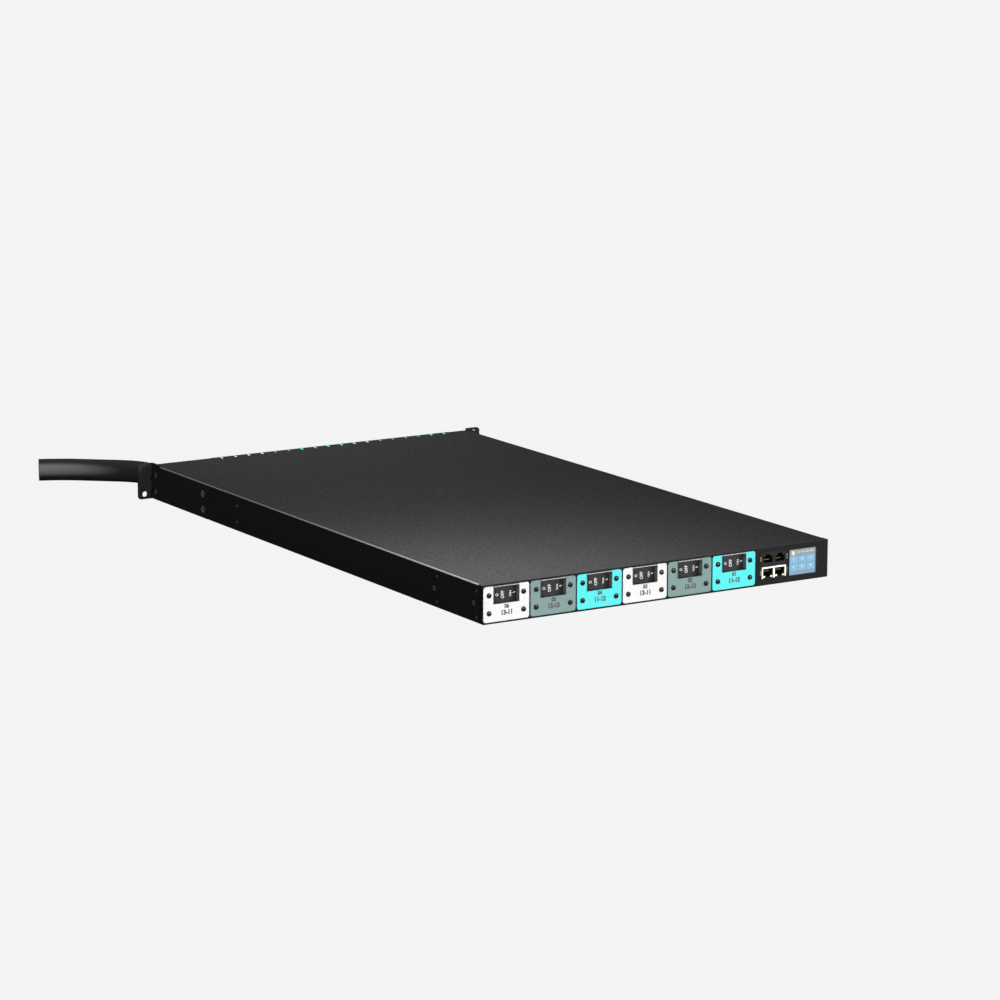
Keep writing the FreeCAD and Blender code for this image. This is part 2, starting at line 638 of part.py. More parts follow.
# Breaker front
def label_plate(number):
    """Thin plate with rounded corners, notched for the rocker guard."""
    body = new_body(f"label_plate_{number}", first_place + plate_pitch * (number - 1))
    low = middle - plate_height / 2
    high = middle + plate_height / 2
    add_slab(body, "XZ_Plane", front - plate_thickness, front,
             rectangle(-plate_width / 2, plate_width / 2, low, high))
    round_edges(body, plate_corner, "y", lambda p: True)
    half = guard_length / 2 + notch_gap
    cut_slab(body, "XZ_Plane", front - plate_thickness, front,
             rectangle(-half, half, guard_low - notch_gap, high + 1))
    hole = cut_slab(body, "XZ_Plane", front - plate_thickness, front,
                    circle(-screw_span_x / 2, middle - screw_span_z / 2, screw_shank + screw_hole_gap))
    repeat(body, hole, ("X_Axis", screw_span_x, 2), ("Z_Axis", screw_span_z, 2))


def plate_screws():
    """Four domed screws through each label plate and the front panel into the breaker."""
    body = new_body("plate_screws")
    seat = front - plate_thickness
    screw = turn(body, "XY_Plane",
                 (first_place - screw_span_x / 2, seat, middle - screw_span_z / 2), "V_Axis",
                 ((0, -screw_head_rise), (screw_head * 0.5, -screw_head_rise * 0.86),
                  (screw_head * 0.87, -screw_head_rise * 0.5), (screw_head, 0),
                  (screw_shank, 0), (screw_shank, plate_thickness + sheet_thickness + screw_reach),
                  (0, plate_thickness + sheet_thickness + screw_reach)))
    socket = cut_slab(body, "XZ_Plane", seat - screw_head_rise, seat - screw_head_rise + screw_socket_depth,
                      hexagon(first_place - screw_span_x / 2, middle - screw_span_z / 2, screw_socket))
    repeat(body, [screw, socket], ("X_Axis", screw_span_x, 2), ("Z_Axis", screw_span_z, 2),
           ("X_Axis", plate_pitch, PLACES))


def breaker(number):
    """Two-pole breaker: a moulded housing with the rocker guard standing out of its upper pole."""
    body = new_body(f"breaker_{number}", first_place + plate_pitch * (number - 1))
    half = breaker_length / 2
    back = breaker_back
    add_slab(body, "XZ_Plane", panel_back, back, rectangle(-half, half, breaker_low, breaker_high))
    guard_half = guard_length / 2
    add_slab(body, "XZ_Plane", front - guard_rise, panel_back,
             rectangle(-guard_half, guard_half, guard_low, guard_high))
    round_edges(body, guard_edge, "xz", lambda p: near(p.y, front - guard_rise))
    well_half = guard_half - guard_wall
    cut_slab(body, "XZ_Plane", front - guard_rise, front + guard_depth,
             rectangle(-well_half, well_half, well_low, well_high))
    cut_slab(body, "XY_Plane", well_low - pivot_reach - seam_gap, well_high + pivot_reach + seam_gap,
             circle(0, pivot_y, pivot_pin + pivot_gap))
    hole = cut_slab(body, "XZ_Plane", panel_back, panel_back + screw_reach + seam_gap * 5,
                    circle(-screw_span_x / 2, middle - screw_span_z / 2, screw_shank + screw_hole_gap))
    repeat(body, hole, ("X_Axis", screw_span_x, 2), ("Z_Axis", screw_span_z, 2))
    for x_low, x_high in ((-half, -half + pole_groove), (half - pole_groove, half)):
        cut_slab(body, "XZ_Plane", panel_back + pole_groove, back, rectangle(
            x_low, x_high, middle - pole_groove / 2, middle + pole_groove / 2))
    cut_slab(body, "XZ_Plane", back - pole_groove, back, rectangle(
        -half, half, middle - pole_groove / 2, middle + pole_groove / 2))


def rocker(number):
    """Two-faced rocker on two short pins, modelled on."""
    body = new_body(f"rocker_{number}", first_place + plate_pitch * (number - 1), pivot_y)
    body.setExpression("Placement.Rotation.Axis.z", "1")
    body.setExpression("Placement.Rotation.Angle", rocker_tilt.text)
    heel_half = rocker_half - rocker_taper
    add_slab(body, "XY_Plane", rocker_low, rocker_high, polygon(
        (0, -rocker_ridge), (rocker_half, -rocker_shoulder), (rocker_half, 0),
        (heel_half, rocker_heel), (-heel_half, rocker_heel), (-rocker_half, 0),
        (-rocker_half, -rocker_shoulder)))
    round_edges(body, rocker_edge, "z", lambda p: near(p.y, -rocker_shoulder) or near(p.y, -rocker_ridge))
    add_slab(body, "XY_Plane", well_low - pivot_reach, rocker_low, circle(0, 0, pivot_pin))
    add_slab(body, "XY_Plane", rocker_high, well_high + pivot_reach, circle(0, 0, pivot_pin))


def breaker_studs():
    """Line and load stud of each pole, on the back of the breakers."""
    body = new_body("breaker_studs")
    stud = add_slab(body, "XZ_Plane", breaker_back, stud_end, circle(
        first_place - stud_span / 2, middle - pole_height / 2, stud_radius))
    repeat(body, stud, ("X_Axis", stud_span, 2), ("Z_Axis", pole_height, 2),
           ("X_Axis", plate_pitch, PLACES))


# Controller end
def jack_block(label, start, edge, low, high, mouth_low, slot_low):
    """Two jack mouths side by side in one block, each with its latch slot."""
    body = new_body(label)
    half = jack_block_width / 2 - edge
    add_slab(body, "XZ_Plane", start, front + jack_block_depth,
             rectangle(jack_middle - half, jack_middle + half, low, high))
    first = jack_middle - jack_pitch / 2
    mouth = cut_slab(body, "XZ_Plane", start, front + jack_depth, rectangle(
        first - jack_width / 2, first + jack_width / 2, mouth_low, mouth_low + jack_mouth))
    repeat(body, mouth, ("X_Axis", jack_pitch, 2))
    slot = cut_slab(body, "XZ_Plane", start, front + jack_depth, rectangle(
        first - jack_slot_width / 2, first + jack_slot_width / 2,
        slot_low, slot_low + jack_slot_height))
    repeat(body, slot, ("X_Axis", jack_pitch, 2))
    return body


def network_jacks():
    """Body of the shielded jacks, latch slot down, with pockets for the lights beside the slot."""
    slot_low = network_low + jack_slot_height / 2
    start = front + shield_sheet
    body = jack_block("network_jacks", start, shield_sheet, network_low,
                      network_low + network_height - shield_sheet, slot_low + jack_slot_height, slot_low)
    first = jack_middle - jack_pitch / 2 - jack_width / 2
    pocket = cut_slab(body, "XZ_Plane", start, start + light_height, rectangle(
        first, first + light_width, network_low + light_height / 2, network_low + light_height * 1.5))
    repeat(body, pocket, ("X_Axis", jack_width - light_width, 2), ("X_Axis", jack_pitch, 2))


def jack_shields():
    """Folded sheet over the front, top, sides and back of the network jacks, open over each jack."""
    body = new_body("jack_shields")
    half = jack_block_width / 2
    inner = half - shield_sheet
    back = front + jack_block_depth
    top = network_low + network_height
    add_slab(body, "XZ_Plane", front, back + shield_sheet, rectangle(
        jack_middle - half, jack_middle + half, network_low, top))
    cut_slab(body, "XZ_Plane", front + shield_sheet, back, rectangle(
        jack_middle - inner, jack_middle + inner, network_low, top - shield_sheet))
    first = jack_middle - jack_pitch / 2
    window = cut_slab(body, "XZ_Plane", front, front + shield_sheet, rectangle(
        first - shield_window / 2, first + shield_window / 2,
        network_low, network_low + jack_slot_height * 1.5 + jack_mouth))
    repeat(body, window, ("X_Axis", jack_pitch, 2))


def jack_lights():
    """Four small light pipes under the shielded jacks."""
    body = new_body("jack_lights")
    first = jack_middle - jack_pitch / 2 - jack_width / 2
    start = front + shield_sheet
    light = add_slab(body, "XZ_Plane", start, start + light_height, rectangle(
        first + seam_gap, first + light_width - seam_gap,
        network_low + light_height / 2 + seam_gap, network_low + light_height * 1.5 - seam_gap))
    repeat(body, light, ("X_Axis", jack_width - light_width, 2), ("X_Axis", jack_pitch, 2))


def sensor_jacks():
    """Unshielded jacks above the shielded ones, latch slot up."""
    jack_block("sensor_jacks", front, 0, sensor_low, sensor_low + sensor_height,
               sensor_mouth_low, sensor_mouth_low + jack_mouth)


def jack_contacts():
    """Eight sprung contacts on the wall of each jack mouth that faces its latch slot."""
    body = new_body("jack_contacts")
    first = jack_middle - jack_pitch / 2 - contact_pitch * 3.5
    network_roof = network_low + jack_slot_height * 1.5 + jack_mouth
    reach = front + jack_depth
    for wall, way in ((network_roof, -1), (sensor_mouth_low, 1)):
        start = wall + way * contact_width / 2
        contact = add_slab(body, "YZ_Plane", first - contact_width / 2, first + contact_width / 2, polygon(
            (reach, start), (reach, start + way * jack_mouth * 0.12),
            (front + jack_depth * 0.3, start + way * jack_mouth * 0.45),
            (front + jack_depth * 0.3, start + way * jack_mouth * 0.33)))
        repeat(body, contact, ("X_Axis", contact_pitch, 8), ("X_Axis", jack_pitch, 2))


def display():
    """Clear lens in the front panel, and the display panel behind it."""
    lens = new_body("display_lens")
    lens_half = lens_width / 2
    lens_rise = lens_height / 2
    add_slab(lens, "XZ_Plane", front + lens_inset, front + lens_inset + lens_thickness, rectangle(
        display_x - lens_half, display_x + lens_half,
        display_middle - lens_rise, display_middle + lens_rise))
    panel = new_body("display_panel")
    half = lens_half + display_margin
    rise = lens_rise + display_margin
    add_slab(panel, "XZ_Plane", panel_back, panel_back + display_thickness, rectangle(
        display_x - half, display_x + half, display_middle - rise, display_middle + rise))


def controller_board():
    """Circuit board under the jacks and behind the display."""
    body = new_body("controller_board")
    centre = side - board_from_side
    add_slab(body, "XY_Plane", board_low, board_top, rectangle(
        centre - board_width / 2, centre + board_width / 2,
        front + board_front, front + board_front + board_depth))


# Outlet end
def outlet(number):
    """Snap-in outlet: a core with three slots inside a deep groove, and two latch tabs on top."""
    body = new_body(f"outlet_{number}", outlet_first + outlet_pitch * (number - 1))
    face = rear + flange_rise
    add_slab(body, "XZ_Plane", rear - outlet_depth, rear,
             rectangle(-outlet_half, outlet_half, outlet_body_low, outlet_body_high))
    add_slab(body, "XZ_Plane", rear, face,
             rectangle(-outlet_half, outlet_half, flange_low, flange_high))
    outer = groove_half
    rise = groove_height / 2
    cut_slab(body, "XZ_Plane", face - groove_depth, face,
             rectangle(-outer, outer, middle - rise, middle + rise),
             rectangle(-outer + groove_gap, outer - groove_gap,
                       middle - rise + groove_gap, middle + rise - groove_gap))
    round_edges(body, groove_corner, "y",
                lambda p: near(abs(p.x), outer) and p.y > (rear - outlet_depth).value)
    cut_slab(body, "XZ_Plane", rear - outlet_depth, face, *[
        rectangle(x - slot_width / 2, x + slot_width / 2, z - slot_height / 2, z + slot_height / 2)
        for x, z in CONTACTS])
    tab = add_slab(body, "XY_Plane", outlet_body_high, chassis_height + tab_rise, rectangle(
        -tab_span / 2 - tab_width / 2, -tab_span / 2 + tab_width / 2,
        rear - tab_from_rear - tab_length, rear - tab_from_rear))
    repeat(body, tab, ("X_Axis", tab_span, 2))


def outlet_contacts():
    """Line, neutral and earth contact of every outlet, each with a blade inside the chassis."""
    body = new_body("outlet_contacts")
    half = slot_width / 2 - contact_gap
    rise = slot_height / 2 - contact_gap
    for x, z in CONTACTS:
        contact = add_slab(body, "XZ_Plane", blade_end, rear + flange_rise - contact_inset, rectangle(
            outlet_first + x - half, outlet_first + x + half, z - rise, z + rise))
        repeat(body, contact, ("X_Axis", outlet_pitch, OUTLETS))


def outlet_bezel():
    """Frame round the whole row of outlets."""
    body = new_body("outlet_bezel")
    add_slab(body, "XZ_Plane", rear, rear + bezel_rise, rectangle(
        row_left - bezel_wall, row_right + bezel_wall, bezel_low, bezel_high))
    round_edges(body, bezel_corner, "y", lambda p: True)
    cut_slab(body, "XZ_Plane", rear, rear + bezel_rise, rectangle(
        row_left, row_right, flange_low - outlet_gap, flange_high + outlet_gap))


# Rack ears and side fasteners
def rack_ear(label, way):
    """Folded bracket: a leg on the chassis side and an ear with two rack screw holes."""
    body = new_body(label)
    add_slab(body, "XY_Plane", ear_low, ear_high, polygon(
        (way * leg_inner, rear - leg_length), (way * leg_outer, rear - leg_length),
        (way * leg_outer, ear_front), (way * ear_tip, ear_front),
        (way * ear_tip, ear_rear), (way * leg_inner, ear_rear)))
    round_edges(body, ear_thickness + 0.3, "z",
                lambda p: near(abs(p.x), leg_inner) and near(p.y, ear_rear))
    low, high = sorted((way * (leg_inner - 1), way * (leg_outer + 1)), key=lambda place: place.value)
    cut_slab(body, "YZ_Plane", low, high,
             rectangle(rear - leg_length - 1, rear - leg_shoulder, leg_high, ear_high + 1))
    round_edges(body, ear_corner, "y", lambda p: near(abs(p.x), ear_tip))
    hole = cut_slab(body, "XZ_Plane", ear_front, ear_rear,
                    circle(way * (side + ear_hole_out), ear_hole_low, ear_hole))
    repeat(body, hole, ("Z_Axis", ear_hole_span_z, 2))
    screw = cut_slab(body, "YZ_Plane", low, high, circle(
        rear - leg_screw_first - leg_screw_pitch, side_row - leg_screw_span / 2,
        leg_screw_shank + leg_screw_gap))
    repeat(body, screw, ("Y_Axis", leg_screw_pitch, 2), ("Z_Axis", leg_screw_span, 2))


def leg_screws():
    """Four button-head screws on each ear leg."""
    body = new_body("leg_screws")
    screw = turn(body, "XY_Plane",
                 (leg_outer, rear - leg_screw_first - leg_screw_pitch, side_row - leg_screw_span / 2),
                 "H_Axis",
                 ((leg_screw_rise, 0), (leg_screw_rise * 0.86, leg_screw_head * 0.5),
                  (leg_screw_rise * 0.5, leg_screw_head * 0.87), (0, leg_screw_head),
                  (0, leg_screw_shank), (-leg_screw_reach, leg_screw_shank), (-leg_screw_reach, 0)))
    top = leg_outer + leg_screw_rise
    socket = cut_slab(body, "YZ_Plane", top - leg_socket_depth, top, hexagon(
        rear - leg_screw_first - leg_screw_pitch, side_row - leg_screw_span / 2, leg_screw_socket))
    repeat(body, [screw, socket], ("Y_Axis", leg_screw_pitch, 2), ("Z_Axis", leg_screw_span, 2),
           ("YZ_Plane", 0, "mirror"))


def side_rivets():
    """Flush rivets that hold the cover to the tray sides."""
    body = new_body("side_rivets")
    stack = sheet_thickness * 2 + seam_gap
    profile = ((rivet_rise, 0), (rivet_rise, rivet_radius), (-stack, rivet_radius),
               (-stack, rivet_flare), (-stack - rivet_tail * 0.5, rivet_flare),
               (-stack - rivet_tail, rivet_radius), (-stack - rivet_tail, 0))
    early = turn(body, "XY_Plane", (side, front + station_first, side_row - station_span / 2),
                 "H_Axis", profile)
    repeat(body, early, ("Y_Axis", station_pitch, 2), ("Z_Axis", station_span, 2),
           ("YZ_Plane", 0, "mirror"))
    late = turn(body, "XY_Plane", (side, rear - late_station, side_row - late_span / 2),
                "H_Axis", profile)
    repeat(body, late, ("Z_Axis", late_span, 2), ("YZ_Plane", 0, "mirror"))


def side_inserts():
    """Threaded inserts in the sides, for moving the ears."""
    body = new_body("side_inserts")
    insert = turn(body, "XY_Plane", (side, front + station_first + insert_offset, side_row),
                  "H_Axis", ((0, insert_bore), (0, insert_radius), (-insert_length, insert_radius),
                             (-insert_length, insert_bore)))
    repeat(body, insert, ("Y_Axis", station_pitch, 2), ("YZ_Plane", 0, "mirror"))


# Power cord and its strain relief
def strain_relief():
    """Turned gland with a flange, a ribbed taper outside and a thread inside."""
    body = new_body("strain_relief")
    ribs = 4
    start = gland_base_rise
    pitch = (gland_length - gland_base_rise) / (ribs + 0.5)
    profile = [(0, -sheet_thickness - gland_thread_length),
               (gland_thread, -sheet_thickness - gland_thread_length), (gland_thread, 0),
               (gland_base, 0), (gland_base, start)]
    for rib in range(ribs):
        low = start + pitch * rib
        radius = gland_neck + (gland_tip - gland_neck) * (rib / ribs)
        profile += [(radius, low), (radius, low + pitch * 0.6),
                    (radius - gland_rib, low + pitch * 0.65), (radius - gland_rib, low + pitch)]
    profile += [(gland_tip, gland_length - pitch * 0.5), (gland_tip, gland_length), (0, gland_length)]
    turn(body, "XY_Plane", (cord_x, rear, cord_level), "V_Axis", profile)


def gland_locknut():
    """Hexagon nut on the inside of the rear panel."""
    body = new_body("gland_locknut")
    face = rear - sheet_thickness
    add_slab(body, "XZ_Plane", face - locknut_thickness, face,
             hexagon(cord_x, cord_level, locknut_flats / 2),
             circle(cord_x, cord_level, gland_thread + gland_thread_gap))


def tube(points, radius, label):
    """A round tube along straight runs, with an arc at every corner as large as its runs allow."""
    corners = [Vector(*point) for point in points]
    edges = []
    last = corners[0]
    for before, corner, after in zip(corners, corners[1:], corners[2:]):
        back = (before - corner).normalize()
        ahead = (after - corner).normalize()
        turned = math.pi - back.getAngle(ahead)
        reach = 0.45 * min((before - corner).Length, (after - corner).Length)
        start = corner + back * reach
        end = corner + ahead * reach
        arc_radius = reach / math.tan(turned / 2)
        bisector = (back + ahead).normalize()
        centre = corner + bisector * (arc_radius / math.cos(turned / 2))
        middle_point = centre - bisector * arc_radius
        edges.append(Part.LineSegment(last, start).toShape())
        edges.append(Part.Arc(start, middle_point, end).toShape())
        print(f"{label} arc radius {arc_radius:.1f} mm, {arc_radius / radius / 2:.1f} diameters")
        last = end
    edges.append(Part.LineSegment(last, corners[-1]).toShape())
    path = Part.Wire(edges)
    ring = Part.Wire([Part.Circle(corners[0], corners[1] - corners[0], radius).toShape()])
    solid = path.makePipeShell([ring], True, False)
    expected = math.pi * radius ** 2 * path.Length
    print(f"{label} length {path.Length:.1f} mm, volume ratio {solid.Volume / expected:.4f}")
    return solid


def power_cord():
    """Thick cord stub that sinks to the floor behind the chassis in one even bend to the left."""
    runs = 10
    sinking = 7
    place = Vector(cord_x.value, (rear + gland_length).value, cord_level.value)
    drop = (cord_level - cord_radius - cord_rest).value
    heading = math.pi / 2
    route = [place]
    for run in range(runs):
        sunk = min(run, sinking - 1) / (sinking - 1)
        level = cord_level.value - drop * (1 - math.cos(math.pi * sunk)) / 2
        step = Vector(math.cos(heading), math.sin(heading), 0) * (cord_length.value / runs)
        place = Vector(place.x + step.x, place.y + step.y, level)
        route.append(place)
        heading += math.radians(cord_turn.value) / (runs - 1)
    print("power cord route", [(round(p.x, 2), round(p.y, 2), round(p.z, 2)) for p in route])
    add_tube("power_cord", tube(route, cord_radius.value, "power cord"))


def add_tube(label, shape):
    """A node that holds one or more finished tubes."""
    holder = doc.addObject("Part::Feature", label)
    holder.Label = label
    holder.Shape = shape
    holder.Placement = Placement(Vector(0, 0, 0), Rotation())
    nodes.append(holder)


# Inside the chassis
def metering_board():
    """Circuit board behind the breakers."""
    body = new_body("metering_board")
    add_slab(body, "XY_Plane", board_low, board_top, rectangle(
        meter_left, meter_right, meter_front, meter_front + meter_depth))


def board_standoffs():
    """Posts between the tray floor and the corners of both boards."""
    body = new_body("board_standoffs")
    boards = ((meter_left, meter_right, meter_front, meter_depth),
              (side - board_from_side - board_width / 2, side - board_from_side + board_width / 2,
               front + board_front, board_depth))
    for left, right, start, depth in boards:
        post = add_slab(body, "XY_Plane", sheet_thickness, board_low, circle(
            left + standoff_inset, start + standoff_inset, standoff_radius))
        repeat(body, post, ("X_Axis", right - left - standoff_inset * 2, 2),
               ("Y_Axis", depth - standoff_inset * 2, 2))


def current_sensors():
    """Block with a round hole for the load lead of each breaker, on the metering board."""
    body = new_body("current_sensors")
    x = first_place + stud_span / 2
    sensor = add_slab(body, "XZ_Plane", sensor_front, sensor_front + sensor_width,
                      rectangle(x - sensor_half, x + sensor_half, board_top, board_top + sensor_half * 2),
                      circle(x, sensor_level, sensor_hole))
    repeat(body, sensor, ("X_Axis", plate_pitch, PLACES))


def controller_supply():
    """Closed supply module of the controller, with vent slots in its lid."""
    body = new_body("controller_supply")
    x = side - supply_from_side
    start = front + supply_back
    top = sheet_thickness + supply_height
    add_slab(body, "XY_Plane", sheet_thickness, top, rectangle(
        x - supply_width / 2, x + supply_width / 2, start, start + supply_depth))
    first = start + supply_slot_pitch
    slot = cut_slab(body, "XY_Plane", top - supply_slot, top, rectangle(
        x - supply_width / 4, x + supply_width / 4, first, first + supply_slot))
    repeat(body, slot, ("Y_Axis", supply_slot_pitch, 8))


def terminal_block():
    """Four-way block on the tray floor, with a screw down each well."""
    body = new_body("terminal_block")
    ways = 4
    top = sheet_thickness + block_height
    back = rear - block_back
    add_slab(body, "XY_Plane", sheet_thickness, top, rectangle(
        block_x - block_width / 2, block_x + block_width / 2, back - block_depth, back))
    pitch = (block_width - block_rib) / ways
    first = block_x - block_width / 2 + block_rib
    well = cut_slab(body, "XY_Plane", top - block_well, top, rectangle(
        first, first + pitch - block_rib, back - block_depth + block_rib, back - block_rib))
    screw = add_slab(body, "XY_Plane", top - block_well, top - block_well / 2, circle(
        first + pitch / 2 - block_rib / 2, back - block_depth / 2, block_screw))
    repeat(body, [well, screw], ("X_Axis", pitch, ways))


def input_leads():
    """Four leads from the inner end of the strain relief to the terminal block."""
    body = new_body("input_leads")
    lead = add_slab(body, "XZ_Plane", rear - block_back, rear - sheet_thickness - gland_thread_length,
                    circle(cord_x - feed_offset, cord_level - feed_offset, feed_radius))
    repeat(body, lead, ("X_Axis", feed_offset * 2, 2), ("Z_Axis", feed_offset * 2, 2))


def line_leads():
    """One lead from the terminal block to the upper line stud of each breaker."""
    level = (middle + pole_height / 2).value
    start = (rear - block_back - block_depth).value
    end = stud_end.value
    leads = []
    for number in range(PLACES):
        far = block_x.value + (number - (PLACES - 1) / 2) * lead_pitch.value
        close = (first_place + plate_pitch * number - stud_span / 2).value
        leads.append(tube([(far, start, level), (far, start - 50, level),
                           (close, end + 60, level), (close, end, level)],
                          lead_radius.value, f"line lead {number + 1}"))
    add_tube("line_leads", Part.makeCompound(leads))


def branch_leads():
    """One lead from the lower load stud of each breaker, through its sensor, to an outlet."""
    low = (middle - pole_height / 2).value
    level = sensor_level.value
    start = stud_end.value
    end = blade_end.value
    leads = []
    for number in range(PLACES):
        close = (first_place + plate_pitch * number + stud_span / 2).value
        served = round(number * (OUTLETS - 1) / (PLACES - 1))
        far = (outlet_first + outlet_pitch * served - slot_span / 2).value
        leads.append(tube([(close, start, low), (close, start + 8, low), (close, start + 18, level),
                           (close, start + 60, level), (far, end - 60, line_level.value),
                           (far, end, line_level.value)],
                          lead_radius.value, f"branch lead {number + 1}"))
    add_tube("branch_leads", Part.makeCompound(leads))


base_tray()
top_cover()
front_frame()
rear_panel()
for place in range(1, PLACES + 1):
    label_plate(place)
    breaker(place)
    rocker(place)
plate_screws()
breaker_studs()
network_jacks()
jack_shields()
jack_lights()
sensor_jacks()
jack_contacts()
display()
controller_board()
for place in range(1, OUTLETS + 1):
    outlet(place)
outlet_contacts()
outlet_bezel()
rack_ear("rack_ear_left", -1)
rack_ear("rack_ear_right", 1)
leg_screws()
side_rivets()
side_inserts()
strain_relief()
gland_locknut()
power_cord()
metering_board()
board_standoffs()
current_sensors()
controller_supply()
terminal_block()
input_leads()
line_leads()
branch_leads()

doc.recompute()
for item in doc.Objects:
    if "Invalid" in item.State or "Error" in item.State:
        raise RuntimeError(f"{item.Label} failed: {item.State}")
for node in nodes:
    if node.Shape.isNull() or not node.Shape.isValid():
        raise RuntimeError(f"{node.Label} has no valid shape")
os.makedirs("parts", exist_ok=True)
for node in nodes:
    node.Shape.exportStep(f"parts/{node.Label}.step")
    box = node.Shape.BoundBox
    print(f"{node.Label}: {len(node.Shape.Solids)} solids, {node.Shape.Volume / 1000:.2f} cm3, "
          f"x {box.XMin:.1f} to {box.XMax:.1f}, y {box.YMin:.1f} to {box.YMax:.1f}, "
          f"z {box.ZMin:.1f} to {box.ZMax:.1f}")
print(len(nodes), "nodes")
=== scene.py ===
# %% [markdown]
# # A rack power unit, from bare solids to a studio picture
#
# The object is a flat steel box, one rack unit high. Its front has six breakers behind
# coloured label plates, two pairs of data jacks and a small lit display. Its rear has a
# row of outlets, two rack ears and a thick cord. The solids come ready made from CAD, so
# this lesson keeps them and adds what a CAD model leaves out: paint, plastic and rubber
# that look real, printed numbers, socket screws, the picture on the display, a soft cord,
# and a studio to see it in. All lengths are in metres, in the frame of the CAD model.

# %% Load the frame
import math

import bmesh
import bpy
from mathutils import Matrix, Vector


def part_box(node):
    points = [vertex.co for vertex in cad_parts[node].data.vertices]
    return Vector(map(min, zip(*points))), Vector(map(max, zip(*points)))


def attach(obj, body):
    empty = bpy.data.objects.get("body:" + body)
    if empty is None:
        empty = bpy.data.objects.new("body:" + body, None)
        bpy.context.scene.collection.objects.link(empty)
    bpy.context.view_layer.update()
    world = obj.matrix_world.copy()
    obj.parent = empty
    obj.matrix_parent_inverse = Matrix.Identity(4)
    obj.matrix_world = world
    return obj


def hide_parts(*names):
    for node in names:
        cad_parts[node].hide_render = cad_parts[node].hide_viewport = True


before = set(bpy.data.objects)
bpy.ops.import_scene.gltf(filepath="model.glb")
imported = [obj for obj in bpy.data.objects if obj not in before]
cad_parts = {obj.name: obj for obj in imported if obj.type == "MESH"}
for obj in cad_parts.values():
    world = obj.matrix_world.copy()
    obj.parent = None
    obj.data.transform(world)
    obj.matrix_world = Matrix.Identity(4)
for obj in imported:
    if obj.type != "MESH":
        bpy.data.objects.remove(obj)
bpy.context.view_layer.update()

scene = bpy.context.scene
MM = 0.001

# %% [markdown]
# ## Where things are
#
# A CAD node knows its own place, so a value that is an end of one is read from its box in
# the cell that needs it. The places of the six label plates serve many cells. They are
# repeated here from the drawing, with a name for each value.

# %% Places on the front
FRONT = -383 * MM
PLATES = 6
PLATE_PITCH = 57.96 * MM
PLATE_FIRST = -193.85 * MM
PLATE_FACE = FRONT - 0.6 * MM
plate_places = [PLATE_FIRST + PLATE_PITCH * number for number in range(PLATES)]
print("label plates at", [round(place / MM, 1) for place in plate_places])

# %% [markdown]
# ## From a bmesh to a piece
#
# Every new piece goes through the same three steps: a bmesh becomes a mesh object at the
# origin, it gets its material, and it rides on the CAD body that carries it. Those steps
# could be written out each time, but one helper keeps them alike.


# %% Turn a bmesh into a piece
def add_piece(name, shape, material, body="chassis"):
    """A bmesh, already in place, becomes an object that rides on a CAD body."""
    mesh = bpy.data.meshes.new(name)
    shape.to_mesh(mesh)
    shape.free()
    piece = bpy.data.objects.new(name, mesh)
    scene.collection.objects.link(piece)
    for entry in material if isinstance(material, list) else [material]:
        mesh.materials.append(entry)
    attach(piece, body)
    print(f"{name}: {len(mesh.polygons)} faces")
    return piece


# %% [markdown]
# ## Shader nodes by code
#
# A finish is a small network of shader nodes. Each node takes several lines to make, set
# and link, and a finish needs about ten of them, so a few helpers say the same in one line.


# %% Node helpers
def group_shell(name, inputs, outputs):
    """An empty node group with named inputs and outputs."""
    group = bpy.data.node_groups.new(name, "ShaderNodeTree")
    for label, kind, value in inputs:
        socket = group.interface.new_socket(label, in_out="INPUT", socket_type=kind)
        socket.default_value = value
    for label, kind in outputs:
        group.interface.new_socket(label, in_out="OUTPUT", socket_type=kind)
    start = group.nodes.new("NodeGroupInput")
    end = group.nodes.new("NodeGroupOutput")
    return group, start, end


def add_node(tree, kind, settings=None, **values):
    """A node with its settings and socket values. A value that is a socket is linked. Where
    sockets share a name, i0, i1 and so on give their number in place of it."""
    node = tree.nodes.new(kind)
    for key, value in (settings or {}).items():
        setattr(node, key, value)
    for label, value in values.items():
        numbered = label[0] == "i" and label[1:].isdigit()
        socket = node.inputs[int(label[1:]) if numbered else label]
        if isinstance(value, bpy.types.NodeSocket):
            tree.links.new(value, socket)
        else:
            socket.default_value = value
    return node


def add_math(tree, operation, *values, clamp=False):
    """A maths node between sockets or plain numbers, and the socket with its result."""
    numbered = {f"i{number}": value for number, value in enumerate(values)}
    settings = {"operation": operation, "use_clamp": clamp}
    return add_node(tree, "ShaderNodeMath", settings, **numbered).outputs[0]


def add_scale(tree, colour, factor):
    """A colour times a number."""
    scaled = add_node(tree, "ShaderNodeVectorMath", {"operation": "SCALE"}, i0=colour, Scale=factor)
    return scaled.outputs["Vector"]


def object_place(tree):
    """The place of a shaded point in metres, in the frame of its object."""
    return add_node(tree, "ShaderNodeTexCoord").outputs["Object"]


def face_normal(tree):
    """The three parts of the way that a face looks."""
    normal = add_node(tree, "ShaderNodeNewGeometry").outputs["Normal"]
    return add_node(tree, "ShaderNodeSeparateXYZ", Vector=normal).outputs


print("node helpers ready")

# %% [markdown]
# ## Grain that many finishes share
#
# Powder coat, moulded plastic and rubber all have a fine grain and a slow, faint change of
# tone. They differ only in scale and strength, so the grain is one node group, used by
# each material with its own values. It reads Object coordinates: the pattern is then tied
# to the solid, at a real size in metres, and doesn't stretch. It hands out a colour, a
# roughness and a height. The shader itself stays in each material.

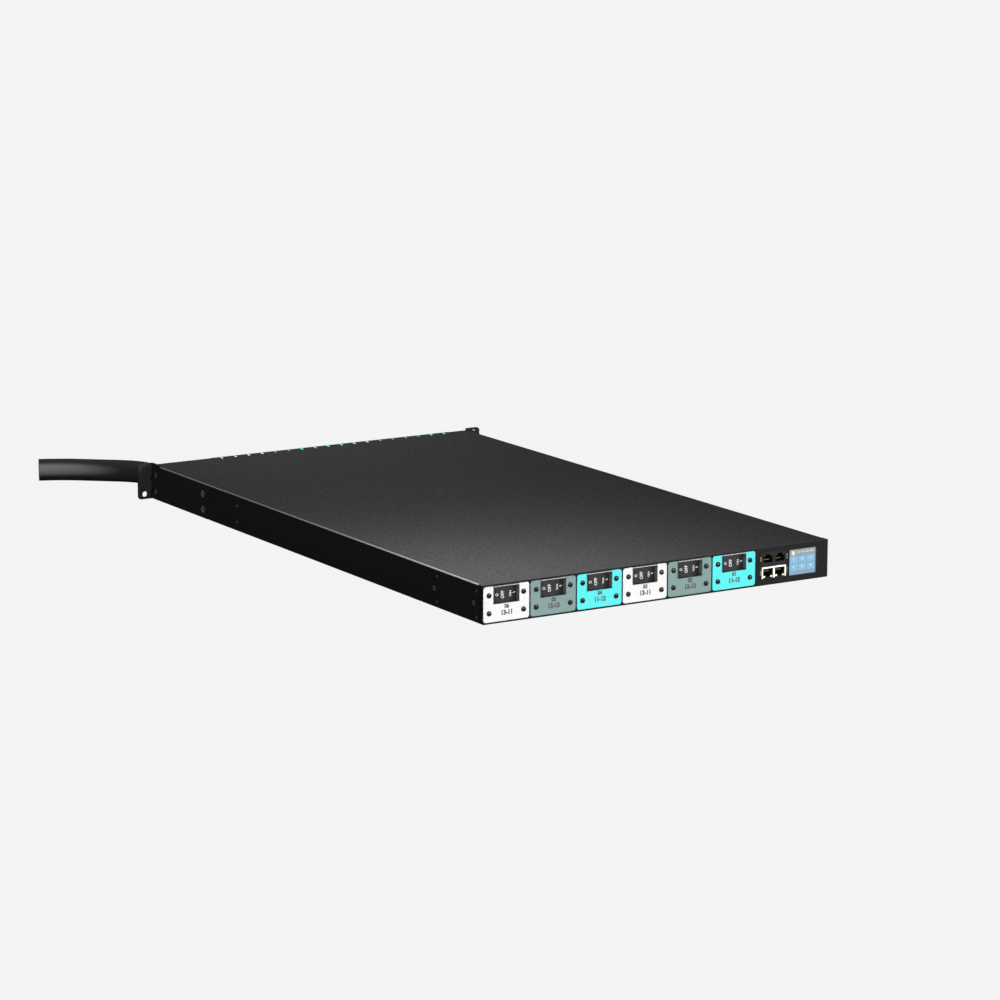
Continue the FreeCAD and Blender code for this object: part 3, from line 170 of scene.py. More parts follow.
# %% The grain group
SLOW_SCALE = 9.0
grain, start, end = group_shell(
    "fine_grain",
    [
        ("Color", "NodeSocketColor", (0.05, 0.05, 0.05, 1)),
        ("Tone", "NodeSocketFloat", 0.1),
        ("Speckle", "NodeSocketFloat", 0.2),
        ("Scale", "NodeSocketFloat", 900.0),
        ("Roughness", "NodeSocketFloat", 0.5),
        ("Roughness change", "NodeSocketFloat", 0.1),
    ],
    [
        ("Color", "NodeSocketColor"),
        ("Roughness", "NodeSocketFloat"),
        ("Height", "NodeSocketFloat"),
    ],
)
where = object_place(grain)
fine = add_node(grain, "ShaderNodeTexNoise", Vector=where, Scale=start.outputs["Scale"],
                Detail=2.0).outputs["Fac"]
slow = add_node(grain, "ShaderNodeTexNoise", Vector=where, Scale=SLOW_SCALE,
                Detail=3.0).outputs["Fac"]
fine_centred = add_math(grain, "SUBTRACT", fine, 0.5)
slow_centred = add_math(grain, "SUBTRACT", slow, 0.5)
speckled = add_math(grain, "MULTIPLY_ADD", fine_centred, start.outputs["Speckle"], 1.0)
toned = add_math(grain, "MULTIPLY_ADD", slow_centred, start.outputs["Tone"], speckled)
shaded = add_scale(grain, start.outputs["Color"], toned)
rough = add_math(grain, "MULTIPLY_ADD", fine_centred, start.outputs["Roughness change"],
                 start.outputs["Roughness"], clamp=True)
grain.links.new(shaded, end.inputs["Color"])
grain.links.new(rough, end.inputs["Roughness"])
grain.links.new(fine, end.inputs["Height"])
print("group", grain.name, "with", len(grain.nodes), "nodes")

# %% [markdown]
# ## Paint on folded steel
#
# A powder coat is a matt, slightly pebbled paint. The long folds of the sheet catch a thin line
# of light, and that highlight is painted into the colour of the coat. A second group finds the
# folds by the way the surface faces: a flat face looks straight along one axis, and only a fold
# looks between two of them. That needs no painting by hand and follows every fold of the sheet.
# The product of the two parts of the way is 0 on a flat face and 0.5 halfway round a fold.

# %% The fold group
FOLD_START = 0.25
FOLD_FULL = 0.45
fold, start, end = group_shell(
    "fold_painted_highlight",
    [
        ("Color", "NodeSocketColor", (0.05, 0.05, 0.05, 1)),
        ("Polished", "NodeSocketColor", (0.2, 0.2, 0.2, 1)),
    ],
    [("Color", "NodeSocketColor")],
)
parts = face_normal(fold)
upward = add_math(fold, "ABSOLUTE", parts["Z"])
sideward = add_math(fold, "ABSOLUTE", parts["X"])
between = add_math(fold, "MULTIPLY", upward, sideward)
mask = add_node(fold, "ShaderNodeMapRange", {"clamp": True}, Value=between,
                i1=FOLD_START, i2=FOLD_FULL, i3=0.0, i4=1.0).outputs[0]
blended = add_node(fold, "ShaderNodeMix", {"data_type": "RGBA"}, i0=mask,
                   i6=start.outputs["Color"], i7=start.outputs["Polished"])
fold.links.new(blended.outputs[2], end.inputs["Color"])
print("group", fold.name, "with", len(fold.nodes), "nodes")

# %% [markdown]
# A third group brightens a colour where a face looks up and lies above a level. The front
# frame uses it twice: its top return has to join the lighter cover, and its front edge gets a
# painted highlight, a thin line of light. A rocker guard uses it for a painted highlight on its
# rounded upper edge.

# %% The upper faces group
upper, start, end = group_shell(
    "upper_faces",
    [
        ("Color", "NodeSocketColor", (0.05, 0.05, 0.05, 1)),
        ("Gain", "NodeSocketFloat", 2.0),
        ("Slope", "NodeSocketFloat", 0.5),
        ("Level", "NodeSocketFloat", 0.0),
    ],
    [("Color", "NodeSocketColor")],
)
facing_up = face_normal(upper)["Z"]
height = add_node(upper, "ShaderNodeSeparateXYZ", Vector=object_place(upper)).outputs["Z"]
sloped = add_math(upper, "GREATER_THAN", facing_up, start.outputs["Slope"])
raised = add_math(upper, "GREATER_THAN", height, start.outputs["Level"])
both = add_math(upper, "MULTIPLY", sloped, raised)
surplus = add_math(upper, "SUBTRACT", start.outputs["Gain"], 1.0)
factor = add_math(upper, "MULTIPLY_ADD", both, surplus, 1.0)
upper.links.new(add_scale(upper, start.outputs["Color"], factor), end.inputs["Color"])
print("group", upper.name, "with", len(upper.nodes), "nodes")

# %% [markdown]
# ## Finishes with the grain
#
# One function makes every painted, moulded or rubber finish. It feeds the grain into a
# Principled shader, and adds the other groups only where they are asked for. A round cord
# also gets painted shade: its colour grows darker toward its outline, where its soft surface
# is seen at a slant. The Facing value of Layer Weight tells how slanted that is.

# %% A grained finish
RIM_START = -0.04
RIM_FULL = 0.27


def new_finish(name, **values):
    """A material with one Principled shader, its plain values set on the shader's sockets."""
    material = bpy.data.materials.new(name)
    material.use_nodes = True
    shader = material.node_tree.nodes["Principled BSDF"]
    for label, value in values.items():
        shader.inputs[label.replace("_", " ")].default_value = value
    return material, shader


def grained(name, color, roughness, speckle=0.2, tone=0.1, scale=900.0, bump=0.1,
            depth=0.05 * MM, polish=None, raised=(), rim=0.0, **values):
    """A finish with the shared grain. A second colour, if given, paints a highlight along the
    folds, each entry of raised brightens what lies above a level (a gain, a least slope and the
    level), and rim is the share of colour that a rounded body loses toward its outline, a painted
    shade."""
    material, shader = new_finish(name, **values)
    tree = material.node_tree
    texture = add_node(tree, "ShaderNodeGroup", {"node_tree": grain}, Color=(*color, 1),
                       Tone=tone, Speckle=speckle, Scale=scale, Roughness=roughness)
    bumped = add_node(tree, "ShaderNodeBump", Height=texture.outputs["Height"],
                      Strength=bump, Distance=depth)
    tree.links.new(bumped.outputs["Normal"], shader.inputs["Normal"])
    tree.links.new(texture.outputs["Roughness"], shader.inputs["Roughness"])
    colour = texture.outputs["Color"]
    # A painted highlight along the folds of the sheet.
    if polish:
        colour = add_node(tree, "ShaderNodeGroup", {"node_tree": fold}, Color=colour,
                          Polished=(*polish, 1)).outputs["Color"]
    for gain, slope, level in raised:
        colour = add_node(tree, "ShaderNodeGroup", {"node_tree": upper}, Color=colour, Gain=gain,
                          Slope=slope, Level=level).outputs["Color"]
    # Painted shade toward the outline of a rounded body.
    if rim:
        facing_away = add_node(tree, "ShaderNodeLayerWeight", Blend=0.5).outputs["Facing"]
        kept = add_node(tree, "ShaderNodeMapRange",
                        {"clamp": True, "interpolation_type": "SMOOTHSTEP"},
                        Value=facing_away, i1=RIM_START, i2=RIM_FULL, i3=1.0, i4=1.0 - rim)
        colour = add_scale(tree, colour, kept.outputs[0])
    tree.links.new(colour, shader.inputs["Base Color"])
    print("finish", name)
    return material


# %% [markdown]
# The cover, the tray, the front frame and the ears all have a black powder coat, but no two
# have quite the same tone. The ears are the lightest, and the cover has the coarsest grain.
# Such a coat hardly mirrors. Its specular level is near nought, because a white studio that
# is mirrored in a black face turns it grey. The front frame gets more than twice its tone
# above a level, a painted highlight for its edge, and its return, which looks straight up, is
# then taken back.

# %% Powder coats
RETURN_LEVEL = 41.9 * MM
ANY_WAY = -1.0
STRAIGHT_UP = 0.7
# The cover and the frame coat get a painted highlight along their folds.
cover_coat = grained("cover_coat", (0.0275, 0.0275, 0.028), 0.62, speckle=1.3, scale=360.0,
                     bump=0.4, depth=0.1 * MM, polish=(0.17, 0.17, 0.171),
                     Specular_IOR_Level=0.0)
frame_coat = grained("frame_coat", (0.021, 0.021, 0.0215), 0.6, speckle=0.9, scale=500.0,
                     bump=0.4, depth=0.08 * MM, polish=(0.05, 0.05, 0.052),
                     Specular_IOR_Level=0.02)
# The front coat gets a painted highlight along its top edge; its return is then taken back.
front_coat = grained("front_coat", (0.025, 0.025, 0.0255), 0.6, speckle=0.7, scale=500.0,
                     bump=0.4, depth=0.08 * MM, Specular_IOR_Level=0.0,
                     raised=((2.6, ANY_WAY, RETURN_LEVEL), (0.42, STRAIGHT_UP, RETURN_LEVEL)))
ear_coat = grained("ear_coat", (0.031, 0.031, 0.0315), 0.5, speckle=0.4, scale=800.0,
                   bump=0.3, Specular_IOR_Level=0.0)

# %% [markdown]
# ## Printed plates and moulded parts
#
# The label plates and the outlet housings share three colours: white, a grey green and a
# bright light blue. They pair a breaker with the outlets that it feeds. Print on a plate is
# almost even, with only a faint mottle, and each colour has a mottle of its own.

# %% Plates and outlets
WHITE = (0.86, 0.86, 0.85)
GREY_GREEN = (0.17, 0.282, 0.269)
LIGHT_BLUE = (0.061, 0.83, 0.82)
plate_finishes = {
    kind: grained(f"plate_{kind}", colour, 0.45, speckle=mottle, tone=mottle, scale=1200.0,
                  bump=0.03)
    for kind, colour, mottle in (("white", WHITE, 0.02), ("grey", GREY_GREEN, 0.05),
                                 ("blue", LIGHT_BLUE, 0.03))
}
outlet_finishes = {
    kind: grained(f"outlet_{kind}", colour, 0.42, speckle=mottle, scale=2600.0, bump=0.15)
    for kind, colour, mottle in (("white", (0.8, 0.8, 0.78), 0.06), ("grey", GREY_GREEN, 0.08),
                                 ("blue", LIGHT_BLUE, 0.06))
}

# %% [markdown]
# Moulded plastic has a spark-eroded grain from its mould, half a millimetre across or less.
# The front edge of a rocker's guard is rounded. Its upper part faces the lamps and shows as
# a thin light line over each rocker, and that highlight is painted: its tone is raised above
# the level of the well.

# %% Plastics, board and leads
GUARD_LEVEL = 38.95 * MM
GUARD_HIGHLIGHT_GAIN = 38.0
LOOKS_UP = 0.25
# A painted highlight on the guard's rounded upper edge.
breaker_plastic = grained("breaker_plastic", (0.02, 0.02, 0.0205), 0.42, speckle=0.3,
                          scale=2200.0, bump=0.25, Specular_IOR_Level=0.2,
                          raised=((GUARD_HIGHLIGHT_GAIN, LOOKS_UP, GUARD_LEVEL),))
rocker_plastic = grained("rocker_plastic", (0.021, 0.021, 0.0215), 0.42, speckle=0.15,
                         scale=3000.0, bump=0.12, Specular_IOR_Level=0.2)
bezel_plastic = grained("bezel_plastic", (0.022, 0.022, 0.022), 0.45, speckle=0.25,
                        scale=2200.0, bump=0.25, Specular_IOR_Level=0.3)
jack_plastic = grained("jack_plastic", (0.014, 0.014, 0.014), 0.4, speckle=0.2, scale=2600.0,
                       bump=0.15, Specular_IOR_Level=0.1)
gland_plastic = grained("gland_plastic", (0.018, 0.018, 0.0185), 0.48, speckle=0.25,
                        scale=1800.0, bump=0.3, Specular_IOR_Level=0.3)
board_green = grained("board_green", (0.012, 0.075, 0.03), 0.35, speckle=0.5, scale=600.0,
                      bump=0.2)
block_plastic = grained("block_plastic", (0.62, 0.6, 0.54), 0.45, speckle=0.1, scale=2200.0,
                        bump=0.2)
lead_rubber = grained("lead_rubber", (0.016, 0.016, 0.0165), 0.42, speckle=0.2, scale=1600.0,
                      bump=0.2)

# %% [markdown]
# The right wall of a rocker's well looks away from the key lamp. The light that bounces onto it
# from the rocker is painted: its tone is lifted where the face looks to the left, so it doesn't
# go black.

# %% Right walls of the wells
WALL_LIGHT_GAIN = 14.0
LOOKS_LEFT = -0.7
tree = breaker_plastic.node_tree
shader = tree.nodes["Principled BSDF"]
plain_colour = shader.inputs["Base Color"].links[0].from_socket
# Painted bounce light on the faces that look to the left.
on_wall = add_math(tree, "LESS_THAN", face_normal(tree)["X"], LOOKS_LEFT)
lift = add_math(tree, "MULTIPLY_ADD", on_wall, WALL_LIGHT_GAIN - 1, 1.0)
tree.links.new(add_scale(tree, plain_colour, lift), shader.inputs["Base Color"])
print("wall of the wells lifted", WALL_LIGHT_GAIN, "times")

# %% [markdown]
# ## Metals
#
# Brushed and drawn metal scatters light along its scratches. The scratches are a noise
# pattern that a Mapping node squeezes sixtyfold along two axes, so it runs long on the
# third. They change only the roughness and the height, because the metal has one colour.

# %% A brushed metal
LINES_ALONG_X = (1.0, 60.0, 60.0)
LINES_ALONG_Y = (60.0, 1.0, 60.0)


def brushed(name, color, roughness, along=LINES_ALONG_X):
    """Metal with fine lines along one axis."""
    material, shader = new_finish(name, Metallic=1.0, Base_Color=(*color, 1))
    tree = material.node_tree
    stretched = add_node(tree, "ShaderNodeMapping", Vector=object_place(tree), Scale=along)
    lines = add_node(tree, "ShaderNodeTexNoise", Vector=stretched.outputs["Vector"],
                     Scale=120.0).outputs["Fac"]
    rough = add_node(tree, "ShaderNodeMapRange", Value=lines,
                     i1=0.3, i2=0.7, i3=roughness * 0.75, i4=roughness * 1.3)
    bumped = add_node(tree, "ShaderNodeBump", Height=lines, Strength=0.15, Distance=0.02 * MM)
    tree.links.new(rough.outputs[0], shader.inputs["Roughness"])
    tree.links.new(bumped.outputs["Normal"], shader.inputs["Normal"])
    print("finish", name)
    return material


# %% [markdown]
# The shield, the studs and the inserts have their lines along the front, and the contacts
# and the supply have theirs from front to rear. The screws have a black oxide coat and the
# rivets are painted, so they show no lines and get the shared grain.

# %% Metals and coated fasteners
SHIELD_METAL = (0.78, 0.78, 0.74)
jack_shield = brushed("jack_shield", SHIELD_METAL, 0.32)
contact_metal = brushed("contact_metal", (0.3, 0.2, 0.075), 0.3, along=LINES_ALONG_Y)
stud_metal = brushed("stud_metal", (0.72, 0.56, 0.3), 0.35)
insert_metal = brushed("insert_metal", (0.07, 0.067, 0.06), 0.45)
screw_black = grained("screw_black", (0.005, 0.005, 0.0055), 0.24, speckle=0.3, scale=2500.0,
                      Specular_IOR_Level=0.3)
rivet_coat = grained("rivet_coat", (0.02, 0.02, 0.021), 0.45, speckle=0.3, scale=900.0, bump=0.2,
                     Specular_IOR_Level=0.15)
supply_metal = brushed("supply_metal", (0.6, 0.6, 0.61), 0.38, along=LINES_ALONG_Y)
print("metals ready")

# %% [markdown]
# ## Print and lit areas
#
# Ink is a dull, even coat. The picture on the display is another matter: it shines by
# itself, so it looks the same whatever the lamps do. A bright paint would turn dark in the
# shade, so each area of the picture sends out its own light, over a nearly black ground.


# %% Inks and lit areas
def glowing(name, color):
    """A lit surface: dark itself, with a faint mottle in its light."""
    material, shader = new_finish(name, Roughness=0.5, Emission_Strength=1.0,
                                  Base_Color=(0.01, 0.01, 0.012, 1))
    tree = material.node_tree
    texture = add_node(tree, "ShaderNodeGroup", {"node_tree": grain}, Color=(*color, 1),
                       Tone=0.12, Speckle=0.12, Scale=700.0)
    tree.links.new(texture.outputs["Color"], shader.inputs["Emission Color"])
    print("finish", name)
    return material


ink_black = grained("ink_black", (0.025, 0.025, 0.025), 0.5, speckle=0.1, scale=3000.0,
                    bump=0.02)
ink_white = grained("ink_white", (0.82, 0.82, 0.82), 0.5, speckle=0.05, scale=3000.0,
                    bump=0.02)
lit_ground = glowing("lit_ground", (0.20, 0.34, 0.50))
lit_header = glowing("lit_header", (0.285, 0.325, 0.335))
lit_tile = glowing("lit_tile", (0.209, 0.51, 0.778))
lit_dot = glowing("lit_dot", (0.80, 1.0, 0.57))
lit_mark = glowing("lit_mark", (0.85, 0.95, 1.0))

# %% [markdown]
# ## One material for two colours of light
#
# Beside each network jack are two light pipes, amber on the left and green on the right.
# They are one CAD node, so the colour has to come from the place. The pipes repeat with the
# jacks, so the place along the front, divided by the jack pitch, leaves a remainder that is
# small for the left pipe and large for the right. The count starts a little to the left of
# the first pipe, so that no pipe straddles the step from one to nought.

# %% Light pipes
JACK_PITCH = 15.9 * MM
PIPE_MARGIN = 1 * MM
PIPE_PARTING = 0.45
AMBER = (0.95, 0.85, 0.35, 1)
GREEN = (0.45, 0.8, 0.35, 1)
lights_low, lights_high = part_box("jack_lights")
light_pipe, shader = new_finish("light_pipe", Roughness=0.25, Emission_Strength=0.7)
tree = light_pipe.node_tree
across = add_node(tree, "ShaderNodeSeparateXYZ", Vector=object_place(tree)).outputs["X"]
moved = add_math(tree, "SUBTRACT", across, lights_low.x - PIPE_MARGIN)
remainder = add_math(tree, "FRACT", add_math(tree, "DIVIDE", moved, JACK_PITCH))
right_pipe = add_math(tree, "GREATER_THAN", remainder, PIPE_PARTING)
hue = add_node(tree, "ShaderNodeMix", {"data_type": "RGBA"}, i0=right_pipe, i6=AMBER, i7=GREEN)
tree.links.new(hue.outputs[2], shader.inputs["Emission Color"])
tree.links.new(hue.outputs[2], shader.inputs["Base Color"])
print("light pipes from", round(lights_low.x, 4), "to", round(lights_high.x, 4))

# %% [markdown]
# The folded shield around the network jacks has a rim pressed in around each window. The rim
# faces away from the light, and that shade is painted: the rim gets a near black colour, so
# only the middle bar, the outer bars and the top shine. Its two windows mirror each other, so
# the distance from the shield's middle finds the bars.
# The three widths are half the middle bar's, an outer bar's and the top's.

# %% Bright bars of the shield
MIDDLE_BAR = 1.15 * MM
OUTER_BAR = 1.55 * MM
TOP_BAR = 1.6 * MM
SHADED_RIM_METAL = (0.03, 0.03, 0.03)
shield_low, shield_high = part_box("jack_shields")
shield_half = (shield_high.x - shield_low.x) / 2
tree = jack_shield.node_tree
place = add_node(tree, "ShaderNodeSeparateXYZ", Vector=object_place(tree)).outputs
offset = add_math(tree, "SUBTRACT", place["X"], shield_low.x + shield_half)
aside = add_math(tree, "ABSOLUTE", offset)
middle_bar = add_math(tree, "LESS_THAN", aside, MIDDLE_BAR)
outer_bar = add_math(tree, "GREATER_THAN", aside, shield_half - OUTER_BAR)
top_bar = add_math(tree, "GREATER_THAN", place["Z"], shield_high.z - TOP_BAR)
upright_bar = add_math(tree, "MAXIMUM", middle_bar, outer_bar)
bright = add_math(tree, "MAXIMUM", upright_bar, top_bar)
# Painted shade on the rim around each window; the bars keep the bright metal.
tinted = add_node(tree, "ShaderNodeMix", {"data_type": "RGBA"}, i0=bright,
                  i6=(*SHADED_RIM_METAL, 1), i7=(*SHIELD_METAL, 1))
tree.links.new(tinted.outputs[2], tree.nodes["Principled BSDF"].inputs["Base Color"])
print("shield from", round(shield_low.x, 4), "to", round(shield_high.x, 4))

# %% [markdown]
# The display has a clear window in front of its picture. A glass shader without absorption
# would do, but a real window takes a little light, so its colour is a very pale blue grey.

# %% Glass of the display
display_glass, shader = new_finish("display_glass", Transmission_Weight=1.0, Roughness=0.04,
                                   IOR=1.45)
tree = display_glass.node_tree
texture = add_node(tree, "ShaderNodeGroup", {"node_tree": grain}, Color=(0.93, 0.95, 0.96, 1),
                   Tone=0.02, Speckle=0.01, Scale=400.0)
tree.links.new(texture.outputs["Color"], shader.inputs["Base Color"])
print("finish", display_glass.name)

# %% [markdown]
# ## Dress the CAD nodes
#
# A node whose shape is right keeps it, and only its material slots change. A table from
# node to finish is easier to check than fifty separate lines.

# %% Finish of each node
PLATE_COLOURS = ("white", "grey", "blue", "white", "grey", "blue")
OUTLET_COLOURS = ("white", "white", "grey", "blue", "blue", "white", "grey", "grey", "blue")
finishes = {
    "base_tray": frame_coat,
    "top_cover": cover_coat,
    "front_frame": front_coat,
    "rear_panel": frame_coat,
    "breaker_studs": stud_metal,
    "network_jacks": jack_plastic,
    "jack_shields": jack_shield,
    "jack_lights": light_pipe,
    "sensor_jacks": jack_plastic,
    "jack_contacts": contact_metal,
    "display_lens": display_glass,
    "display_panel": jack_plastic,
    "controller_board": board_green,
    "outlet_contacts": contact_metal,
    "outlet_bezel": bezel_plastic,
    "rack_ear_left": ear_coat,
    "rack_ear_right": ear_coat,
    "side_rivets": rivet_coat,
    "side_inserts": insert_metal,
    "strain_relief": gland_plastic,
    "gland_locknut": gland_plastic,
    "metering_board": board_green,
    "board_standoffs": stud_metal,
    "current_sensors": jack_plastic,
    "controller_supply": supply_metal,
    "terminal_block": block_plastic,
    "input_leads": lead_rubber,
    "line_leads": lead_rubber,
    "branch_leads": lead_rubber,
}
for number, colour in enumerate(PLATE_COLOURS, 1):
    finishes[f"label_plate_{number}"] = plate_finishes[colour]
    finishes[f"breaker_{number}"] = breaker_plastic
    finishes[f"rocker_{number}"] = rocker_plastic
for number, colour in enumerate(OUTLET_COLOURS, 1):
    finishes[f"outlet_{number}"] = outlet_finishes[colour]
for node, finish in finishes.items():
    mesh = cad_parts[node].data
    mesh.materials.clear()
    mesh.materials.append(finish)
print(len(finishes), "nodes dressed")

# %% [markdown]
# ## Words and numbers as ink
#
# Print could be a picture on a texture, but flat letters stay sharp at any distance. Real
# ink lies on the surface, so the letters stand a few hundredths of a millimetre proud. A
# font's size counts from the lowest tail to the highest letter, and a capital letter takes
# up seven tenths of it, so the helper divides by that share.

# %% Letters in a bmesh
CAPITAL_SHARE = 0.7
INK = 0.03 * MM


def add_word(shape, word, height, matrix, weight=0.03, thickness=INK):
    """Write a word into a bmesh. The matrix takes flat letters to where they belong."""
    curve = bpy.data.curves.new("word", "FONT")
    curve.body = word
    curve.size = height / CAPITAL_SHARE
    curve.align_x = "CENTER"
    curve.align_y = "CENTER"
    curve.extrude = thickness / 2
    curve.offset = curve.size * weight
    curve.resolution_u = 3
    letters = bpy.data.objects.new("word", curve)
    scene.collection.objects.link(letters)
    mesh = bpy.data.meshes.new_from_object(letters)
    bpy.data.objects.remove(letters)
    mesh.transform(matrix)
    shape.from_mesh(mesh)
    bpy.data.meshes.remove(mesh)
    bpy.data.curves.remove(curve)


def facing(place, along, upward):
    """Matrix for letters at a place: one axis along the line of writing, one up the letters."""
    along = Vector(along).normalized()
    upward = Vector(upward).normalized()
    outward = along.cross(upward)
    turned = Matrix((along, upward, outward)).transposed().to_4x4()
    return Matrix.Translation(Vector(place)) @ turned


print("ink is", INK / MM, "mm thick")

# %% [markdown]
# ## Numbers on the label plates
#
# Each plate has two lines of small bold figures under its rocker: the number of the
# breaker, and the pair of phases that feed it. Figures are the one kind of writing that
# says nothing about who made the thing, so they are plain numbers.

# %% Plate numbers
BREAKER_NUMBERS = ("06", "05", "04", "03", "02", "01")
PHASE_PAIRS = ("13-11", "12-13", "11-12", "13-11", "12-13", "11-12")
NUMBER_HEIGHT, NUMBER_LEVEL = 4.2 * MM, 17.3 * MM
PAIR_HEIGHT, PAIR_LEVEL = 4.9 * MM, 10.6 * MM
PRINT_OFFSET = 0.6 * MM
NARROW = Matrix.Diagonal((0.92, 1, 1, 1))
for number, place in enumerate(plate_places):
    shape = bmesh.new()
    for word, height, level in ((BREAKER_NUMBERS[number], NUMBER_HEIGHT, NUMBER_LEVEL),
                                (PHASE_PAIRS[number], PAIR_HEIGHT, PAIR_LEVEL)):
        printed = (place + PRINT_OFFSET, PLATE_FACE - INK / 2, level)
        matrix = facing(printed, (1, 0, 0), (0, 0, 1))
        add_word(shape, word, height, matrix @ NARROW, weight=0.055)
    add_piece(f"plate_numbers_{number + 1}", shape, ink_black)

# %% [markdown]
# ## Marks on the rockers
#
# A rocker has two sloping faces that meet in a low ridge. The marks on it read upwards: a
# ring and OFF on the left face, ON and a bar on the right. They are printed on the slopes,
# so each one is placed in the rocker's own plane first, and then turned with the rocker
# about its pin. They ride on the rocker's body, because they move with it. Each row of the
# table has a word, its place from the ridge, its height and how wide it is drawn.

# %% Slopes of a rocker
PIVOT_Y = FRONT + 5 * MM
ROCKER_HALF = 13.45 * MM
ROCKER_RIDGE = 7.5 * MM
ROCKER_SHOULDER = 3.1 * MM
ROCKER_TILT = math.radians(6)


def on_rocker(along):
    """Matrix for a mark on the front of a rocker that lies level, at a place from its ridge."""
    way = -1 if along < 0 else 1
    slope = math.atan2(ROCKER_RIDGE - ROCKER_SHOULDER, ROCKER_HALF) * way
    depth = ROCKER_RIDGE - abs(along) * (ROCKER_RIDGE - ROCKER_SHOULDER) / ROCKER_HALF
    direction = Vector((math.cos(slope), math.sin(slope), 0))
    outward = Vector((math.sin(slope), -math.cos(slope), 0))
    point = Vector((along, -depth, 0)) + outward * INK / 2
    return facing(point, (0, 0, 1), -direction)


print("a rocker's ridge stands", round((ROCKER_RIDGE - ROCKER_SHOULDER) / MM, 1), "mm proud")

# %% Rocker marks
MARKS = (
    ("O", -11.5 * MM, 3.0 * MM, 0.85),
    ("OFF", -5.6 * MM, 3.3 * MM, 1.0),
    ("ON", 4.2 * MM, 3.6 * MM, 0.78),
)
BAR_PLACE = 10.3 * MM
BAR_SIZE = Matrix.Diagonal((1.0 * MM, 4.6 * MM, INK, 1))
for number, place in enumerate(plate_places):
    low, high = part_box(f"rocker_{number + 1}")
    pin = Matrix.Translation((place, PIVOT_Y, (low.z + high.z) / 2))
    turned = pin @ Matrix.Rotation(ROCKER_TILT, 4, "Z")
    shape = bmesh.new()
    for word, along, height, width in MARKS:
        add_word(shape, word, height, turned @ on_rocker(along) @ Matrix.Diagonal((width, 1, 1, 1)))
    bmesh.ops.create_cube(shape, size=1.0, matrix=turned @ on_rocker(BAR_PLACE) @ BAR_SIZE)
    add_piece(f"rocker_marks_{number + 1}", shape, ink_white, f"rocker_{number + 1}")

# %% [markdown]
# ## Socket screws
#
# The CAD screws are plain domes. Real ones have a hexagon socket, and its dark hole is what
# tells the eye that this is a screw. A circle of edges is extruded up and drawn in, step by
# step, to make the dome. A hexagon is bridged to its top ring, extruded down and closed.


# %% Socket screw
DOME_STEPS = ((0.25, 1.0), (0.35, 0.9), (0.25, 0.74), (0.15, 0.56))


def socket_screw(head_radius, head_rise, socket_radius, socket_depth):
    """A domed head on the XY plane, facing +Z, with a hexagon socket. Each step of the dome
    has its share of the rise and its share of the radius."""
    shape = bmesh.new()
    ring = bmesh.ops.create_circle(shape, cap_ends=True, segments=24, radius=head_radius)["verts"]
    loop = list({edge for vert in ring for edge in vert.link_edges})
    size_now = head_radius
    for rise, share in DOME_STEPS:
        grown = bmesh.ops.extrude_edge_only(shape, edges=loop)["geom"]
        verts = [item for item in grown if isinstance(item, bmesh.types.BMVert)]
        loop = [item for item in grown if isinstance(item, bmesh.types.BMEdge)]
        bmesh.ops.translate(shape, verts=verts, vec=(0, 0, head_rise * rise))
        ratio = head_radius * share / size_now
        bmesh.ops.scale(shape, verts=verts, vec=(ratio, ratio, 1))
        size_now = head_radius * share
    top = Matrix.Translation((0, 0, head_rise))
    hexagon = bmesh.ops.create_circle(shape, segments=6, radius=socket_radius, matrix=top)["verts"]
    inner = list({edge for vert in hexagon for edge in vert.link_edges})
    bmesh.ops.bridge_loops(shape, edges=loop + inner)
    sunk = bmesh.ops.extrude_edge_only(shape, edges=inner)["geom"]
    bottom = [item for item in sunk if isinstance(item, bmesh.types.BMVert)]
    bmesh.ops.translate(shape, verts=bottom, vec=(0, 0, -socket_depth))
    bmesh.ops.contextual_create(shape, geom=bottom)
    bmesh.ops.recalc_face_normals(shape, faces=shape.faces)
    mesh = bpy.data.meshes.new("socket_screw")
    shape.to_mesh(mesh)
    shape.free()
    return mesh


def screw_row(name, node, mesh, matrices):
    """Copies of one screw in place of a CAD node."""
    shape = bmesh.new()
    for matrix in matrices:
        placed = mesh.copy()
        placed.transform(matrix)
        shape.from_mesh(placed)
        bpy.data.meshes.remove(placed)
    piece = add_piece(name, shape, screw_black)
    for polygon in piece.data.polygons:
        polygon.use_smooth = True
    piece.data.set_sharp_from_angle(angle=math.radians(35))
    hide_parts(node)


print("a screw's dome has", len(DOME_STEPS), "steps")

# %% [markdown]
# No two screws stop at the same angle when they are tight, so each plate screw is turned by
# an angle of its own. The angle follows from its place, so it is the same on every run.

# %% Screws of the label plates
SPAN_X = 42.4 * MM
SPAN_Z = 19.05 * MM
MIDDLE = 21.15 * MM
TURN_IN_PLATE = 17
TURN_PER_PLATE = 23
toward_front = Matrix.Rotation(math.radians(90), 4, "X")
plate_screw = socket_screw(head_radius=2.9 * MM, head_rise=1.7 * MM, socket_radius=1.1 * MM,
                           socket_depth=1.0 * MM)
matrices = []
for number, place in enumerate(plate_places):
    for x in (-1, 1):
        for z in (-1, 1):
            seat = (place + x * SPAN_X / 2, PLATE_FACE, MIDDLE + z * SPAN_Z / 2)
            angle = math.radians(TURN_IN_PLATE * (x + 2 * z) + TURN_PER_PLATE * number)
            turn = Matrix.Rotation(angle, 4, "Z")
            matrices.append(Matrix.Translation(seat) @ toward_front @ turn)
screw_row("plate_screw_heads", "plate_screws", plate_screw, matrices)

# %% [markdown]
# The screws in the legs of the rack ears are larger, and face sideways. The head is made
# anew in their size. It faces up at first, and a quarter turn about the axis from front to
# rear makes it face out, to the left or to the right.

